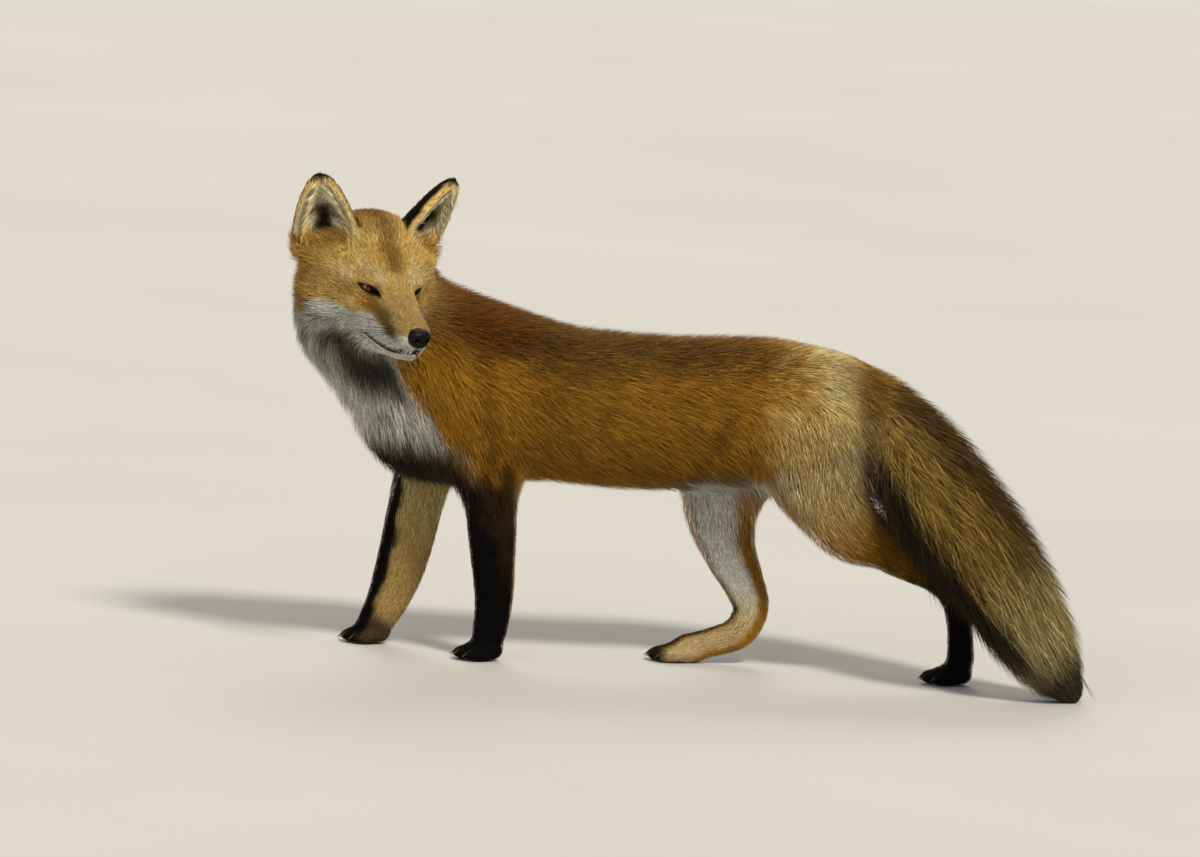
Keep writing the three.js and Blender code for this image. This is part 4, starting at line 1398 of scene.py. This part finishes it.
# ---------------------------------------------------------------- eyes, nose and claws
def ball_mesh(name, rings, segments):
    """A unit ball with its poles on X."""
    points, faces = [(1.0, 0.0, 0.0)], []
    for i in range(1, rings):
        angle = math.pi * i / rings
        for k in range(segments):
            turned = 2 * math.pi * k / segments
            ring = math.sin(angle)
            points.append((math.cos(angle), ring * math.cos(turned), ring * math.sin(turned)))
    points.append((-1.0, 0.0, 0.0))
    last = len(points) - 1
    for k in range(segments):
        n = (k + 1) % segments
        faces.append((0, 1 + k, 1 + n))
        for i in range(rings - 2):
            a = 1 + i * segments
            faces.append((a + k, a + segments + k, a + segments + n, a + n))
        faces.append((last, last - segments + n, last - segments + k))
    mesh = bpy.data.meshes.new(name)
    mesh.from_pydata(points, [], faces)
    return mesh, np.array(points)


IRIS = srgb(168, 106, 36)
IRIS_EDGE = srgb(46, 26, 12)


def make_eye(side, node):
    """An eyeball with its cornea, an amber iris and an upright slit of a pupil."""
    mesh, p = ball_mesh(f"{node}_ball", 72, 96)
    off_axis = np.degrees(np.arccos(np.clip(p[:, 0], -1, 1)))
    bulge = 0.07 * (1 - ramp(off_axis, 10, 44))
    h = p * (EYE["radius"] * (1 + bulge))[:, None]
    across, up = p[:, 1], p[:, 2]
    slit = np.hypot(across / 0.13, up / 0.36)
    streak = 0.5 + 0.5 * np.sin(14 * np.arctan2(up, across) + 3 * np.sin(5 * np.arctan2(up, across)))
    c = mix(IRIS, IRIS * 1.7, streak * ramp(-off_axis, -42, -14))
    c = mix(c, IRIS_EDGE, ramp(off_axis, 36, 46))
    c = mix(c, BLACK, ramp(off_axis, 50, 58))
    c = mix(c, BLACK * 0.3, 1 - ramp(slit, 0.85, 1.1))
    axes = np.stack([gaze(side), np.cross((0, 0, 1), gaze(side)), (0, 0, 1)], 1)
    place = from_head(eye_centre(side) + h @ axes.T)
    mesh.vertices.foreach_set("co", to_room(place).ravel())
    paint(mesh, c)
    finish_piece(mesh, EYEBALL, "eye", node)


def make_nose():
    """The nose leather, with a nostril either side and a groove down its middle."""
    mesh, p = ball_mesh("nose_leather", 96, 128)
    x, y, z = p.T
    squared = (np.abs(x) ** 2.5 + np.abs(y) ** 2.5 + np.abs(z) ** 2.5) ** (-1 / 2.5)
    q = p * squared[:, None]
    q[:, 1] *= 1 + 0.12 * q[:, 2]
    q *= np.array(NOSE["half"])
    for side in (1, -1):
        hole = np.array((7.6, side * 5.0, 0.2))
        offset = q - hole
        offset[:, 1] -= side * 0.12 * offset[:, 2] ** 2
        d = np.linalg.norm(offset / (4.0, 2.6, 2.1), axis=1)
        q[:, 0] -= 4.6 * (1 - ramp(d, 0.45, 1.15))
        comma = np.array((5.0, side * 8.6, -2.6))
        d = np.linalg.norm((q - comma) / (4.5, 3.0, 1.1), axis=1)
        q[:, 1] -= side * 1.5 * (1 - ramp(d, 0.3, 1.2))
    groove = (1 - ramp(np.abs(q[:, 1]), 0.2, 1.3)) * ramp(q[:, 0], 3, 6) * ramp(-q[:, 2], -4, 3)
    q[:, 0] -= 1.1 * groove
    place = from_head(q + np.array(NOSE["at"]))
    mesh.vertices.foreach_set("co", to_room(place).ravel())
    pebbles = 0.8 + 0.4 * noise(q, 0.9, 31)
    paint(mesh, srgb(8, 7, 6) * pebbles[:, None])
    finish_piece(mesh, LEATHER, "nose_leather", "nose")


def finish_claws():
    horn = horn_material()
    for leg in LEGS:
        for k in range(len(TOES)):
            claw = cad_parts[f"{leg}_claw_{k + 1}"]
            claw = claw if isinstance(claw, bpy.types.Object) else bpy.data.objects[claw]
            claw.data.materials.clear()
            claw.data.materials.append(horn)


WHISKER_SEED = 11
WHISKER_STEPS = 6
WHISKER_ROWS = (-18.0, -22.5, -27.0)  # heights of the rows in the head's frame


def make_whiskers():
    """Whiskers in rows on either side of the muzzle, each a thin bent cone."""
    rng = np.random.default_rng(WHISKER_SEED)
    points, faces = [], []
    for side in (1, -1):
        for row, z in enumerate(WHISKER_ROWS):
            for k in range(4):
                root = np.array((64.0 - 6.5 * k - 2 * row, side * (11.5 + 1.6 * k), z - 0.8 * k))
                length = (30 + 10 * k) * rng.uniform(0.85, 1.1)
                way = unit(np.array((0.25 - 0.28 * k, side * 1.0, 0.15 - 0.2 * row)))
                droop = np.array((-0.35, 0, -0.28)) * length
                start = len(points)
                for step in np.linspace(0, 1, WHISKER_STEPS + 1):
                    centre = root + way * length * step + droop * step**2
                    radius = 0.26 * (1 - step) + 0.03
                    for turned in (0, 2.09, 4.19):
                        points.append(centre + radius * np.array((math.cos(turned), 0, math.sin(turned))))
                for ring in range(WHISKER_STEPS):
                    a = start + 3 * ring
                    faces += [(a + i, a + (i + 1) % 3, a + 3 + (i + 1) % 3, a + 3 + i) for i in range(3)]
                faces += [(start + 2, start + 1, start), (start + 18, start + 19, start + 20)]
    mesh = bpy.data.meshes.new("whiskers")
    mesh.from_pydata(to_room(from_head(np.array(points))).tolist(), [], faces)
    paint(mesh, np.tile(BLACK * 1.5, (len(points), 1)))
    finish_piece(mesh, FUR, "coat")


make_skin()
make_whiskers()
for eye_side, eye_node in ((1, "eye_left"), (-1, "eye_right")):
    make_eye(eye_side, eye_node)
make_nose()
finish_claws()


# ---------------------------------------------------------------- camera, floor and lights
AZIMUTH, ELEVATION, ROLL = (math.radians(angle) for angle in (-10, 7, 4.5))
PHOTO_CENTRE = (94.5, 239.65)  # mm right of and above the near forepaw, where the picture's middle is
NEAR_PAW = np.array((-190, -36, 0), float)
FRAME_WIDTH = 1.2  # metres across the picture at the fox
DISTANCE = 10.0
FLOOR_REACH = 40.0
# Each lamp: the way it lies from the fox, its spread in degrees, its power and its colour.
LAMPS = {
    "key": ((0.35, -1.0, 1.3), 12, 3.7, (1.0, 0.96, 0.9)),
    "fill": ((-1.0, -1.0, 0.35), 60, 1.1, (0.95, 0.97, 1.0)),
    "rim": ((0.1, 1.0, 0.9), 30, 1.2, (1.0, 0.98, 0.95)),
}


def make_camera():
    back = np.array((
        math.sin(AZIMUTH) * math.cos(ELEVATION),
        -math.cos(AZIMUTH) * math.cos(ELEVATION),
        math.sin(ELEVATION),
    ))
    level = np.array((math.cos(AZIMUTH), math.sin(AZIMUTH), 0))
    upright = np.cross(back, level)
    centre = to_room(NEAR_PAW + PHOTO_CENTRE[0] * level + PHOTO_CENTRE[1] * upright)
    right = math.cos(ROLL) * level + math.sin(ROLL) * upright
    up = math.cos(ROLL) * upright - math.sin(ROLL) * level
    data = bpy.data.cameras.new("camera")
    data.sensor_width = 36
    data.lens = data.sensor_width * DISTANCE / FRAME_WIDTH
    data.clip_end = 100
    camera = new_object("camera", data)
    turned = Matrix(np.stack([right, up, back], 1).tolist()).to_4x4()
    camera.matrix_world = Matrix.Translation(Vector(centre + back * DISTANCE)) @ turned
    bpy.context.scene.camera = camera


def make_floor():
    mesh = bpy.data.meshes.new("floor")
    corners = [(x * FLOOR_REACH, y * FLOOR_REACH, 0) for x, y in ((-1, -1), (1, -1), (1, 1), (-1, 1))]
    mesh.from_pydata(corners, [], [(0, 1, 2, 3)])
    mat, tree, shader = material("floor_paint", 0.85, 0.2)
    place = add_node(tree, "ShaderNodeTexCoord").outputs["Object"]
    cloud = add_node(tree, "ShaderNodeTexNoise", {"Vector": place, "Scale": 1.4, "Detail": 3.0})
    colours = add_node(tree, "ShaderNodeValToRGB", {"Fac": cloud.outputs["Fac"]})
    colours.color_ramp.elements[0].color = (*srgb(166, 163, 155), 1)
    colours.color_ramp.elements[1].color = (*srgb(176, 173, 165), 1)
    tree.links.new(colours.outputs["Color"], shader.inputs["Base Color"])
    mesh.materials.append(mat)
    new_object("floor", mesh)


def make_light(name, towards, spread_angle, power, colour):
    """A wide, soft lamp far off in the direction given."""
    data = bpy.data.lights.new(name, "SUN")
    data.angle = math.radians(spread_angle)
    data.energy = power
    data.color = colour
    light = new_object(name, data)
    light.rotation_euler = Vector(towards).to_track_quat("Z", "Y").to_euler()


def make_world():
    world = bpy.data.worlds.new("studio")
    world.use_nodes = True
    background = world.node_tree.nodes["Background"]
    background.inputs["Color"].default_value = (1.0, 0.99, 0.97, 1)
    background.inputs["Strength"].default_value = 0.5
    bpy.context.scene.world = world


make_camera()
make_floor()
for lamp_name, lamp in LAMPS.items():
    make_light(lamp_name, *lamp)
make_world()
bpy.context.scene.view_settings.view_transform = "Standard"
